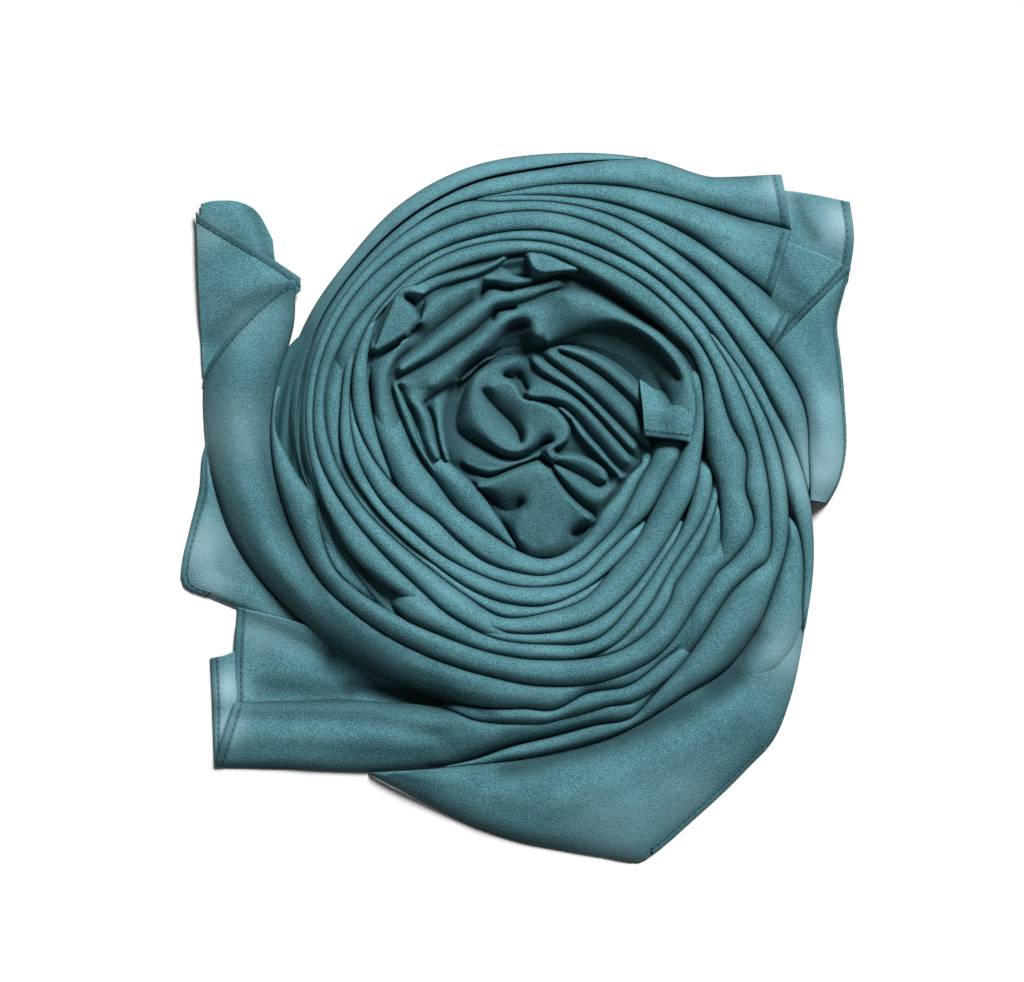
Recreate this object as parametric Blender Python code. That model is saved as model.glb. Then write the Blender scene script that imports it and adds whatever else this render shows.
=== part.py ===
"""A chiffon hijab headscarf swirled into a flat rose and laid on a table, as closed solids in metres.

The scarf is one rectangle of cloth, so its sub-parts are the stretches that show: the long folds of the
coil, the loose sheets at its edge, and the folds in its middle. Each is a thin arched wall between two
crease lines, and what lies hidden under them is one rounded solid.
"""

import math

import bmesh
import bpy

MM = 0.001
COLLECTION = "hijab_headscarf"

# The swirl's centre, measured in mm from the middle of the whole heap's bounding box.
CENTRE_X = 14.0
CENTRE_Y = 26.4

COIL_WALL = 2.8
SHEET_WALL = 1.6
EDGE_GAP = 0.3
BEARING_STEP = 10
ARCH_POWER = 2.4
STEEPEST_RISE = 0.42
HIGHEST_RISE = 6.5
FLOOR = 0.0

# Height of the fold crests and depth of the creases between them, in mm, by distance from the swirl's
# centre. Columns: radius, crest, crease depth.
HEAP_PROFILE = (
    (0, 21.0, 5.0),
    (35, 22.0, 5.0),
    (50, 19.5, 5.5),
    (65, 24.0, 6.0),
    (80, 29.0, 6.5),
    (95, 31.0, 6.5),
    (108, 29.5, 6.5),
    (120, 26.0, 6.0),
    (130, 21.5, 5.5),
    (140, 17.0, 4.5),
    (150, 13.5, 3.5),
    (165, 9.5, 2.5),
    (200, 5.0, 1.5),
    (230, 4.0, 1.0),
)

# Crease lines of the coil. Each row is bearing in degrees: distance in mm from the swirl's centre. Bearings
# turn anticlockwise from +X, and run on past 360 or start below 0 where a line winds round more than once.
CREASES = {
    "rim": {
        70: 157.2, 80: 153.2, 90: 150.5, 105: 148.8, 120: 144.8, 135: 138.8, 150: 137, 165: 134.8,
        180: 129,
    },
    "second": {
        50: 183, 55: 170, 60: 161, 70: 156.5, 75: 151.5, 90: 143.5, 105: 140.5, 120: 136.5, 135: 132.5,
        150: 130.2, 165: 126.5, 180: 124,
    },
    "third": {
        42.5: 166, 50: 154, 60: 145.5, 75: 138.5, 90: 134, 100: 131.8, 113: 132.8, 120: 131, 135: 128.5,
        150: 126.5, 165: 122.8, 180: 117.5,
    },
    "fourth": {29.5: 140, 35: 137, 45: 132, 60: 129.8, 75: 129.2, 90: 129, 100: 130.5},
    "fifth": {
        -10: 133.8, -5: 132, 0: 131, 10: 131, 20: 126.5, 25: 124, 30: 121.8, 45: 119.8, 60: 120.2,
        75: 123.5,
        90: 126, 100: 127.8, 107: 131.8, 120: 131, 135: 128.5, 150: 126.5, 165: 122.8, 180: 117.5, 195: 112,
        210: 109.8, 225: 109.5,
    },
    "sixth": {
        -34: 156.5, -30: 151.8, -20: 142.5, -10: 133.8, 0: 125, 10: 116.8, 15: 114, 30: 109.5, 45: 109.5,
        60: 111.2, 75: 116.2, 90: 120.8, 105: 122.2, 120: 123.2, 135: 123.8, 150: 122.2, 165: 118.8,
        180: 113, 195: 102.5, 210: 95, 225: 91.5, 240: 92.8, 255: 94.5, 270: 94, 285: 95, 300: 85.8,
        315: 79,
        330: 77, 345: 75.8, 360: 77.5,
    },
    "seventh": {
        -34: 154, -30: 148, -20: 136, -10: 122.5, 0: 116.2, 15: 108.5, 30: 103.5, 45: 101.8, 60: 103.8,
        75: 106.5, 90: 111, 105: 112.8, 120: 114.5, 135: 114.5, 150: 115.2, 165: 113.5, 180: 105.5, 195: 95,
        210: 85.5, 225: 80.5, 240: 80.2, 255: 83.2, 270: 78.5, 285: 74.2, 300: 65.8, 315: 62.5, 330: 60,
        345: 61, 360: 67, 375: 76.5, 390: 80.2,
    },
    "lower_lip": {
        -110: 166.5, -103: 158.5, -90: 149.5, -75: 143.8, -60: 138.5, -50: 140, -40: 136.8, -30: 131.5,
        -20: 128,
        -10: 122.2, 0: 116.2, 15: 108.5, 30: 103.5, 40: 101.9,
    },
    "tail_outer": {
        -136.6: 227, -133: 214, -128: 199.5, -120: 183, -110: 166.5, -103: 156, -97: 147, -90: 141.5,
        -80: 137.2,
        -72: 138, -66: 131.5, -60: 126.5, -45: 116.8, -37: 114.8, -30: 117.8, -25: 122, -15: 115.8,
        0: 107.8,
        15: 102.8, 30: 100.5, 40: 101.2,
    },
    "tail_inner": {
        -141.4: 197.8, -137: 180, -130: 159, -120: 143, -115: 138, -110: 135.8, -105: 136.8, -96: 134.8,
        -90: 133.5, -85: 131.2, -76: 128.8, -70: 130.5, -60: 126.5, -50: 119.5,
    },
    "drape_outer": {
        -192.7: 174.8, -186: 171.4, -180: 168.8, -174: 166, -166.7: 162.9, -160: 158.6, -150: 150.5,
        -140: 145,
        -130: 140, -120: 134.8, -110: 132, -95: 126.8, -88: 127, -80: 120.5, -70: 122, -60: 117.5,
        -50: 116.8,
    },
    "drape_inner": {
        -214.4: 150.4, -208.4: 142, -203.5: 139, -198: 138.5, -190: 138, -180: 136.2, -165: 131.5,
        -150: 128,
        -135: 120.8, -120: 115.5, -105: 113.5, -90: 114.8, -75: 116.2, -60: 114.2, -45: 105.5, -35: 103.5,
        -30: 106, -19: 109.2, -10: 100.8, 0: 99.5, 8: 94, 15: 92.2, 30: 94, 45: 95, 60: 97, 75: 100,
        90: 105.2,
        105: 109, 120: 111, 135: 110.2, 150: 107, 165: 99, 180: 86.5, 195: 73.5, 210: 63.5, 225: 61,
        240: 60.8,
        255: 60.2, 270: 60, 285: 56.5, 300: 52, 315: 49.8, 330: 48, 345: 48.8, 360: 53.5,
    },
    "strip_inner": {
        -190: 136, -185: 134.5, -180: 128.5, -175: 123.2, -170: 117, -165: 117.2, -155: 119, -150: 118.5,
        -135: 109.5, -120: 103.5, -105: 101.8, -90: 101.8, -80: 103, -70: 104, -60: 101.5, -50: 95.5,
        -45: 91,
        -30: 89, -15: 88.5,
    },
    "basin_outer": {
        -40: 104.2, -30: 99, -20: 92.5, -10: 86.5, 0: 80.2, 15: 81.5, 25: 85.5, 35: 87.8, 45: 86, 60: 86.2,
        75: 91, 90: 99.5, 105: 101, 120: 103.5, 130: 106,
    },
    "basin_step": {
        -130: 107, -120: 103.5, -105: 101.8, -90: 101.8, -80: 102.4, -70: 100.4, -60: 94.2, -45: 85.2,
        -35: 83.2,
        -20: 84.5, -10: 84.2, 0: 80.2,
    },
    "broad_outer": {
        240: 89.2, 255: 90.5, 270: 88.5, 285: 86, 300: 80.5, 315: 75.5, 330: 74, 345: 75.8, 360: 77.5,
        375: 81.5,
        390: 86.8,
    },
    "left_mid": {
        150: 111, 165: 104.8, 180: 100.5, 195: 90.5, 210: 82.2, 225: 77.2, 240: 76.5, 255: 76.2, 270: 74.8,
        285: 70, 300: 65.5, 315: 62.5, 330: 60,
    },
    "left_inner": {
        150: 107, 165: 100.5, 180: 93.5, 195: 84.8, 210: 75.8, 225: 71.2, 240: 68, 255: 67, 270: 65.5,
        285: 64,
        300: 58.2, 315: 56.5, 330: 59, 345: 61, 360: 67,
    },
    "shoulder": {
        130: 90, 145: 92, 155: 92, 165: 88.8, 180: 80, 195: 73.5, 210: 63.5, 225: 61, 240: 60.8, 255: 60.2,
        270: 60, 285: 56.5, 300: 52, 315: 49.8, 330: 48, 345: 48.8, 360: 53.5,
    },
    "ledge": {
        60: 81, 75: 83, 90: 85, 105: 84.2, 120: 82.8, 135: 81.8, 150: 86.5, 160: 78.5, 165: 73, 180: 63,
        195: 55.2,
        210: 51.5, 225: 48.2, 240: 47.5, 255: 49.8, 270: 51.8, 285: 49, 300: 44.2, 315: 39.8, 330: 40.5,
        345: 42.5,
        355: 48,
    },
    "inner_ledge": {
        50: 84.5, 60: 81, 75: 82, 90: 78.5, 105: 74, 120: 69.8, 130: 70, 140: 75, 150: 80, 160: 66, 165: 59,
        180: 51.5, 200: 45.2, 210: 41,
    },
    "crossing": {
        60: 72.5, 70: 66, 80: 61, 90: 62, 105: 64, 120: 58.8, 135: 57.5, 150: 57.2, 165: 52, 180: 46,
    },
    "right_wall": {
        0: 67, 10: 74.2, 15: 76.5, 25: 80.2, 30: 80.2, 45: 78.5, 60: 72.5, 70: 66, 80: 61, 90: 62,
    },
    "well": {
        0: 53.5, 10: 50, 20: 53, 30: 60, 35: 62, 45: 56.2, 55: 55, 75: 55.5, 90: 52.5, 105: 53.5,
        120: 54, 135: 52.8,
        150: 48.5, 160: 46, 170: 43.5,
    },
    "right_hem": {
        -13: 138.5, -9.6: 143.5, -4.8: 148, 1: 150.5, 10: 152, 20: 156.5, 25: 161.3, 31: 177,
    },
    "bottom_hem": {
        -119: 182, -110: 183.5, -101.5: 188.8, -93.7: 193.9, -87.8: 197.6, -82: 202.9, -77: 209, -75: 206.8,
        -68.4: 197.3, -62.8: 191.2, -56.5: 185.8, -51: 182.3, -45: 173.2, -39: 163.6, -34: 156.5,
    },
    "under_hem": {
        -180: 171, -174.2: 173.4, -168: 181.4, -163: 189.6, -160: 192, -157: 182, -153.4: 171.8,
        -144.5: 153,
        -136: 145.5,
    },
}

# Folds of the coil, from the rim inwards. Columns: node, outer crease, inner crease, first bearing, last
# bearing, turns that the inner crease is ahead, outer edge's height in mm where it isn't the crease's own.
FOLDS = (
    ("rim_fold", "rim", "second", 75, 175, 0, FLOOR),
    ("right_fold", "fifth", "sixth", -8, 225, 0, None),
    ("shadow_fold", "strip_inner", "fifth", -165, -143, 1, None),
    ("main_fold", "sixth", "seventh", -32, 240, 0, None),
    ("broad_fold", "broad_outer", "seventh", 240, 385, 0, None),
    ("broad_fold_edge", "sixth", "broad_outer", 250, 325, 0, None),
    ("lower_right_wedge", "seventh", "lower_lip", -32, -16, 0, None),
    ("lower_lip_fold", "lower_lip", "tail_outer", -98, 30, 0, None),
    ("lower_fold", "tail_inner", "drape_outer", -108, -50, 0, None),
    ("right_inner_fold", "tail_outer", "drape_inner", -46, 35, 0, None),
    ("upper_inner_fold", "seventh", "drape_inner", 40, 145, 0, None),
    ("left_fold_1", "seventh", "left_mid", 150, 280, 0, None),
    ("left_fold_2", "left_mid", "left_inner", 155, 320, 0, None),
    ("left_fold_3", "left_inner", "drape_inner", 175, 355, 0, None),
    ("hemmed_strip", "drape_inner", "strip_inner", -190, -40, 0, None),
    ("hemmed_strip_end", "basin_outer", "strip_inner", -40, -22, 0, None),
    ("basin_rim_fold", "drape_inner", "basin_outer", -30, 125, 0, None),
    ("basin_fold_1", "strip_inner", "basin_step", -70, -20, 0, None),
    ("basin_fold_2", "basin_step", "sixth", -128, -10, 1, None),
    ("hooked_tip_fold", "drape_inner", "shoulder", 132, 185, 0, None),
    ("shoulder_fold", "shoulder", "ledge", 130, 350, 0, None),
    ("basin_back_fold", "basin_outer", "ledge", 65, 125, 0, None),
    ("ledge_fold", "ledge", "inner_ledge", 90, 205, 0, None),
    ("crossing_fold", "inner_ledge", "crossing", 60, 175, 0, None),
    ("corner_tag", "right_wall", "well", 3, 30, 0, None),
    ("inner_back_fold", "right_wall", "well", 36, 78, 0, None),
    ("well_fold", "crossing", "well", 92, 165, 0, None),
)

# Folds whose end is cut off at a slant. Columns: node, outer crease, inner crease, slanted bearings as
# pairs (outer, inner), last bearing, outer edge's height in mm at the slanted end and at the last bearing
# (None: the crease's own).
SLANTED_FOLDS = (
    ("upper_flap_1", "second", "third", ((50, 42.5), (55, 50), (58, 55), (62, 60)), 175, FLOOR, None),
    ("upper_flap_2", "third", "fourth", ((42.5, 35), (50, 45), (55, 52), (60, 60)), 95, 9.0, None),
    ("upper_flap_3", "fourth", "fifth",
     ((29.5, 25), (35, 30), (45, 40), (52, 50), (60, 60)),
     95, 11.0, None),
    ("right_sheet", "right_hem", "fifth",
     ((31, 25), (25, 20), (20, 15), (10, 8), (1, 0), (-5, -5), (-9.6, -9)),
     None, FLOOR, FLOOR),
    ("bottom_sheet", "bottom_hem", "lower_lip",
     ((-119, -109), (-110, -106), (-101.5, -100), (-93.7, -92), (-87.8, -86), (-82, -81), (-77, -76),
      (-75, -73), (-68.4, -67), (-62.8, -61), (-56.5, -55), (-51, -49), (-45, -43), (-39, -38),
      (-35, -35)),
     None, FLOOR, FLOOR),
    ("under_sheet", "under_hem", "drape_outer",
     ((-180, -178), (-174.2, -173), (-168, -168), (-163, -163.5), (-160, -161), (-157, -157.5),
      (-153.4, -153.4), (-144.5, -145), (-137, -137)),
     None, FLOOR, FLOOR),
    ("tail", "tail_outer", "tail_inner",
     ((-136.6, -141.4), (-133, -137), (-128, -133), (-120, -126), (-110, -116), (-103, -107), (-97, -98),
      (-90, -90), (-80, -80), (-70, -72)),
     None, FLOOR, 8.0),
    ("left_drape", "drape_outer", "drape_inner",
     ((-192.7, -214.4), (-189, -208.4), (-186, -203.5), (-182, -198), (-178, -190), (-174, -180),
      (-167, -170), (-160, -160)),
     -52, FLOOR, None),
)

# Loose layers at the edge of the heap, as strips between two edges. Columns: node, then rows from one end
# to the other of (x, y) on the first edge, (x, y) on the second edge, in mm from the swirl's centre, and the
# two heights.
LAYERS = (
    ("back_corner", (
        ((123, 131), (123, 107.5), 5, 6),
        ((137.5, 129), (137.5, 102.2), 3, 4),
        ((152, 126), (153, 95), 1.6, 1.6),
    )),
    ("upper_flap_4", (
        ((124, 105), (114.5, 78.5), 8, 10),
        ((137.5, 100.2), (124, 68.5), 5, 8),
        ((152, 92.8), (115.5, 52.5), 2, 6),
    )),
    ("left_middle_layer", (
        ((-174.5, 121), (-170.9, 38.9), 4, 2),
        ((-165, 115), (-163, 47), 6, 5),
        ((-152.5, 107.5), (-151.5, 58.5), 7, 8),
        ((-140, 100), (-139.5, 70.5), 7, 9),
        ((-124.5, 89), (-124.6, 85.4), 6, 9),
    )),
    ("left_back_layer", (
        ((-172, 125.5), (-172, 119.6), 3, 5),
        ((-165, 126), (-164.5, 115.1), 3, 6),
        ((-153, 125.5), (-152, 107.4), 3, 7),
        ((-143.5, 121), (-141, 100.8), 3, 7),
        ((-136, 107.5), (-135, 97.2), 3, 6),
    )),
    ("lower_left_sheet", (
        ((-153.5, -79), (-155, -121), 3, 3),
        ((-122.5, -89.5), (-122.5, -120.5), 5, 4),
        ((-101, -102.5), (-97.5, -119.5), 7, 6),
        ((-74, -116.5), (-73, -121), 9, 8),
    )),
    ("lower_left_hem", (
        ((-167, -101.5), (-157.5, -97.5), 1.6, 2),
        ((-166, -122.5), (-157.5, -119), 1.6, 2),
        ((-165, -154), (-158.5, -136), 1.6, 2),
    )),
)

# Crease lines across the middle, from the upper right to the lower left, as (x, y) in mm from the swirl's
# centre.
MIDDLE_CREASES = (
    ((-21, 47.5), (-8, 50), (10, 50), (28, 44.5), (45, 31), (47, 9)),
    ((-24, 46), (-10, 47.5), (8, 42), (24, 32), (40, 19), (47.5, 1)),
    ((-28, 43), (-14, 41), (2, 33.5), (19, 24), (33, 9), (42, -8)),
    ((-37, 34), (-21, 36), (-4, 26), (11, 14), (24, -3), (32.5, -17)),
    ((-41, 14), (-28, 5), (-14, 1), (0, -1), (12, -12), (25, -28)),
    ((-36, -14), (-27, -31), (-14, -46.4), (0, -51.5), (12, -47.1), (22, -36.8)),
)
MIDDLE_FOLDS = ("middle_fold_1", "middle_fold_2", "middle_curl", "middle_s_fold", "middle_lobe")

# The rounded solid under the visible folds. Columns: bearing in degrees, outer radius in mm.
CORE_EDGE = {
    0: 118, 30: 112, 45: 116, 60: 132, 75: 132, 90: 128, 120: 127, 150: 122, 180: 122, 210: 122,
    225: 120, 250: 118,
    270: 120, 300: 124, 330: 118, 345: 118, 360: 118,
}
CORE_CLEARANCE = 1.7
CORE_SIDES = 36
CORE_RINGS = 18
CORE_EDGE_HEIGHT = 3.0

TEAL = (0.072, 0.221, 0.262, 1.0)
DEEP_TEAL = (0.050, 0.165, 0.200, 1.0)
PALE_TEAL = (0.105, 0.280, 0.325, 1.0)
CLOTH_ROUGHNESS = 0.85


def clear_scene():
    for item in list(bpy.data.objects):
        bpy.data.objects.remove(item, do_unlink=True)


def part_collection():
    collection = bpy.data.collections.new(COLLECTION)
    bpy.context.scene.collection.children.link(collection)
    return collection


def cloth_material(name, colour):
    material = bpy.data.materials.new(name)
    material.use_nodes = True
    shader = material.node_tree.nodes["Principled BSDF"]
    shader.inputs["Base Color"].default_value = colour
    shader.inputs["Roughness"].default_value = CLOTH_ROUGHNESS
    shader.inputs["Metallic"].default_value = 0.0
    return material


def between(low, high, share):
    return low + (high - low) * share


def read_curve(curve, place):
    """The smooth value at a place of a table {place: value}, held flat past its ends."""
    places = sorted(curve)
    if place <= places[0]:
        return curve[places[0]]
    if place >= places[-1]:
        return curve[places[-1]]
    last = next(i for i, p in enumerate(places) if p >= place)
    x1, x2 = places[last - 1], places[last]
    y1, y2 = curve[x1], curve[x2]
    before = places[max(last - 2, 0)]
    after = places[min(last + 1, len(places) - 1)]
    slope1 = (y2 - curve[before]) / (x2 - before)
    slope2 = (curve[after] - y1) / (after - x1)
    span = x2 - x1
    s = (place - x1) / span
    return (
        y1 * (2 * s**3 - 3 * s**2 + 1)
        + slope1 * span * (s**3 - 2 * s**2 + s)
        + y2 * (3 * s**2 - 2 * s**3)
        + slope2 * span * (s**3 - s**2)
    )


CREST_CURVE = {radius: crest for radius, crest, _ in HEAP_PROFILE}
DEPTH_CURVE = {radius: depth for radius, _, depth in HEAP_PROFILE}


def crease_height(radius):
    return read_curve(CREST_CURVE, radius) - read_curve(DEPTH_CURVE, radius)


def crease_point(name, bearing):
    """(x, y) in mm from the swirl's centre of a crease line at a bearing."""
    radius = read_curve(CREASES[name], bearing)
    angle = math.radians(bearing)
    return radius * math.cos(angle), radius * math.sin(angle)


def bearings_between(first, last):
    """First and last with each multiple of the step between them."""
    inside = [
        step * BEARING_STEP
        for step in range(math.ceil(first / BEARING_STEP), math.floor(last / BEARING_STEP) + 1)
    ]
    inside = [b for b in inside if first + 2 < b < last - 2]
    return [first, *inside, last]


def arch_section(outer, inner, outer_z, inner_z, thick, most_rise):
    """Top points (x, y, z) of one arched section from an outer to an inner edge, both (x, y)."""
    width = math.dist(outer, inner)
    gap = min(EDGE_GAP, 0.2 * width)
    count = 4 if width > 6 else 3
    rise = min(most_rise, STEEPEST_RISE * width)
    points = []
    for i in range(count + 1):
        share = (1 - math.cos(math.pi * i / count)) / 2
        along = between(gap, width - gap, share) / width
        bow = (1 - abs(2 * share - 1) ** ARCH_POWER) ** 0.5
        z = max(between(outer_z, inner_z, share) + rise * bow, FLOOR + thick)
        points.append((between(outer[0], inner[0], along), between(outer[1], inner[1], along), z))
    return points


def same_count(sections):
    """The sections, with the short ones given as many points as the longest by splitting their middle."""
    most = max(len(section) for section in sections)
    even = []
    for section in sections:
        section = list(section)
        while len(section) < most:
            middle = len(section) // 2
            a, b = section[middle - 1], section[middle]
            section.insert(middle, tuple(between(p, q, 0.5) for p, q in zip(a, b)))
        even.append(section)
    return even


def wall(name, sections, thick, material, collection):
    """One closed wall whose top runs through the sections, lists of (x, y, z) in mm from the centre."""
    sections = same_count(sections)
    rows, columns = len(sections), len(sections[0])
    mesh = bmesh.new()
    bmesh.ops.create_grid(mesh, x_segments=columns - 1, y_segments=rows - 1, size=1.0)
    corners = sorted(mesh.verts, key=lambda v: (round(v.co.y, 6), round(v.co.x, 6)))
    for index, vertex in enumerate(corners):
        x, y, z = sections[index // columns][index % columns]
        vertex.co = ((x + CENTRE_X) * MM, (y + CENTRE_Y) * MM, z * MM)
    lower = bmesh.ops.extrude_face_region(mesh, geom=list(mesh.faces), use_keep_orig=True)
    moved = [item for item in lower["geom"] if isinstance(item, bmesh.types.BMVert)]
    bmesh.ops.translate(mesh, vec=(0, 0, -thick * MM), verts=moved)
    bmesh.ops.recalc_face_normals(mesh, faces=list(mesh.faces))
    data = bpy.data.meshes.new(name)
    mesh.to_mesh(data)
    mesh.free()
    data.materials.append(material)
    item = bpy.data.objects.new(name, data)
    collection.objects.link(item)
    return item


def fold_sections(outer, inner, pairs, outer_heights, thick, most_rise):
    """Arched sections at pairs of bearings (on the outer crease, on the inner crease)."""
    sections = []
    for (outer_bearing, inner_bearing), height in zip(pairs, outer_heights):
        start = crease_point(outer, outer_bearing)
        end = crease_point(inner, inner_bearing)
        outer_z = crease_height(math.hypot(*start)) if height is None else height
        inner_z = crease_height(math.hypot(*end))
        sections.append(arch_section(start, end, outer_z, inner_z, thick, most_rise))
    return sections


def make_folds(material, collection):
    for name, outer, inner, first, last, turns, edge_height in FOLDS:
        pairs = [(b, b + 360 * turns) for b in bearings_between(first, last)]
        heights = [edge_height] * len(pairs)
        sections = fold_sections(outer, inner, pairs, heights, COIL_WALL, HIGHEST_RISE)
        wall(name, sections, COIL_WALL, material, collection)


def edge_heights(pairs, outer, first_height, last_height):
    """Heights of an outer edge that go from one given value to another over its bearings."""
    heights = []
    for index, (bearing, _) in enumerate(pairs):
        own = crease_height(read_curve(CREASES[outer], bearing))
        low = own if first_height is None else first_height
        high = own if last_height is None else last_height
        share = index / (len(pairs) - 1)
        if last_height is None:
            share = min(1.0, 2.0 * share)
        heights.append(between(low, high, share))
    return heights


def make_slanted_folds(material, collection):
    for name, outer, inner, slant, last, first_height, last_height in SLANTED_FOLDS:
        pairs = list(slant)
        if last is not None:
            pairs += [(b, b) for b in bearings_between(slant[-1][1], last)[1:]]
        heights = edge_heights(pairs, outer, first_height, last_height)
        sections = fold_sections(outer, inner, pairs, heights, SHEET_WALL, HIGHEST_RISE)
        wall(name, sections, SHEET_WALL, material, collection)


def make_layers(material, collection):
    for name, rows in LAYERS:
        sections = [
            arch_section(first, second, first_z, second_z, SHEET_WALL, 1.5)
            for first, second, first_z, second_z in rows
        ]
        wall(name, sections, SHEET_WALL, material, collection)


def make_middle(material, collection):
    for name, outer, inner in zip(MIDDLE_FOLDS, MIDDLE_CREASES, MIDDLE_CREASES[1:]):
        sections = [
            arch_section(
                start, end, crease_height(math.hypot(*start)), crease_height(math.hypot(*end)),
                COIL_WALL, HIGHEST_RISE,
            )
            for start, end in zip(outer, inner)
        ]
        wall(name, sections, COIL_WALL, material, collection)


def make_hidden_layers(material, collection):
    """The rounded, flat-bottomed solid that stands for all the cloth under the visible folds."""
    mesh = bmesh.new()
    bmesh.ops.create_uvsphere(mesh, u_segments=CORE_SIDES, v_segments=CORE_RINGS, radius=1.0)
    below = [v for v in mesh.verts if v.co.z < -1e-4]
    bmesh.ops.delete(mesh, geom=below, context="VERTS")
    for vertex in mesh.verts:
        share = 1 - 2 * math.acos(max(-1.0, min(1.0, math.hypot(vertex.co.x, vertex.co.y)))) / math.pi
        bearing = math.degrees(math.atan2(vertex.co.y, vertex.co.x)) % 360
        radius = share * read_curve(CORE_EDGE, bearing)
        top = crease_height(radius) - COIL_WALL - CORE_CLEARANCE
        z = CORE_EDGE_HEIGHT if vertex.is_boundary else max(top, CORE_EDGE_HEIGHT)
        angle = math.radians(bearing)
        vertex.co = (
            (radius * math.cos(angle) + CENTRE_X) * MM,
            (radius * math.sin(angle) + CENTRE_Y) * MM,
            z * MM,
        )
    rim = [edge for edge in mesh.edges if edge.is_boundary]
    skirt = bmesh.ops.extrude_edge_only(mesh, edges=rim)
    for vertex in skirt["geom"]:
        if isinstance(vertex, bmesh.types.BMVert):
            vertex.co.z = FLOOR
    bmesh.ops.holes_fill(mesh, edges=[edge for edge in mesh.edges if edge.is_boundary], sides=0)
    bmesh.ops.recalc_face_normals(mesh, faces=list(mesh.faces))
    data = bpy.data.meshes.new("hidden_layers")
    mesh.to_mesh(data)
    mesh.free()
    data.materials.append(material)
    collection.objects.link(bpy.data.objects.new("hidden_layers", data))


def main():
    clear_scene()
    collection = part_collection()
    teal = cloth_material("teal_chiffon", TEAL)
    pale = cloth_material("single_layer_chiffon", PALE_TEAL)
    deep = cloth_material("hidden_chiffon", DEEP_TEAL)
    make_hidden_layers(deep, collection)
    make_folds(teal, collection)
    make_slanted_folds(teal, collection)
    make_layers(pale, collection)
    make_middle(teal, collection)


main()
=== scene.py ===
"""Looks of a chiffon hijab headscarf swirled into a flat rose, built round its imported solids."""

import logging
import math
from dataclasses import dataclass, field
from enum import Enum
from typing import Callable, Optional, Sequence

import bmesh
import bpy
import numpy as np
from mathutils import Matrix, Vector, noise


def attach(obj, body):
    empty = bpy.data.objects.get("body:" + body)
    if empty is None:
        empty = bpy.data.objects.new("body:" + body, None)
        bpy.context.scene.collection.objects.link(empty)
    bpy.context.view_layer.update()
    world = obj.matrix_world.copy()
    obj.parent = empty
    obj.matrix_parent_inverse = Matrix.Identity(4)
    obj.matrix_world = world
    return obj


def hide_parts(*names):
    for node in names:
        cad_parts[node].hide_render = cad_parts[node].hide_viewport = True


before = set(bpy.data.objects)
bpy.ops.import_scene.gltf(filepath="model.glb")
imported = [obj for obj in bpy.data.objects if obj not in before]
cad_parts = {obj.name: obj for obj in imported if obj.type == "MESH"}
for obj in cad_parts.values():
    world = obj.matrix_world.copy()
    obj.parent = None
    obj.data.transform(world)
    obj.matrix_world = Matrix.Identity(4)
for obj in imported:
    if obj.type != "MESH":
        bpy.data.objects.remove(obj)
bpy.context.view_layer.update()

MM = 0.001
CENTRE_X = 14.0
CENTRE_Y = 26.4
FLOOR = 0.0
ROOT = "root"

Bearing = float
CurveTable = dict[float, float]
Point = tuple[float, float, float]

# Height of the fold crests and depth of the creases between them, in mm, by distance from the swirl's centre.
# Columns: radius, crest, crease depth.
HEAP_PROFILE = (
    (0, 21.0, 5.0),
    (35, 22.0, 5.0),
    (50, 19.5, 5.5),
    (65, 24.0, 6.0),
    (80, 29.0, 6.5),
    (95, 31.0, 6.5),
    (108, 29.5, 6.5),
    (120, 26.0, 6.0),
    (130, 21.5, 5.5),
    (140, 17.0, 4.5),
    (150, 13.5, 3.5),
    (165, 9.5, 2.5),
    (200, 5.0, 1.5),
    (230, 4.0, 1.0),
)

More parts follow.
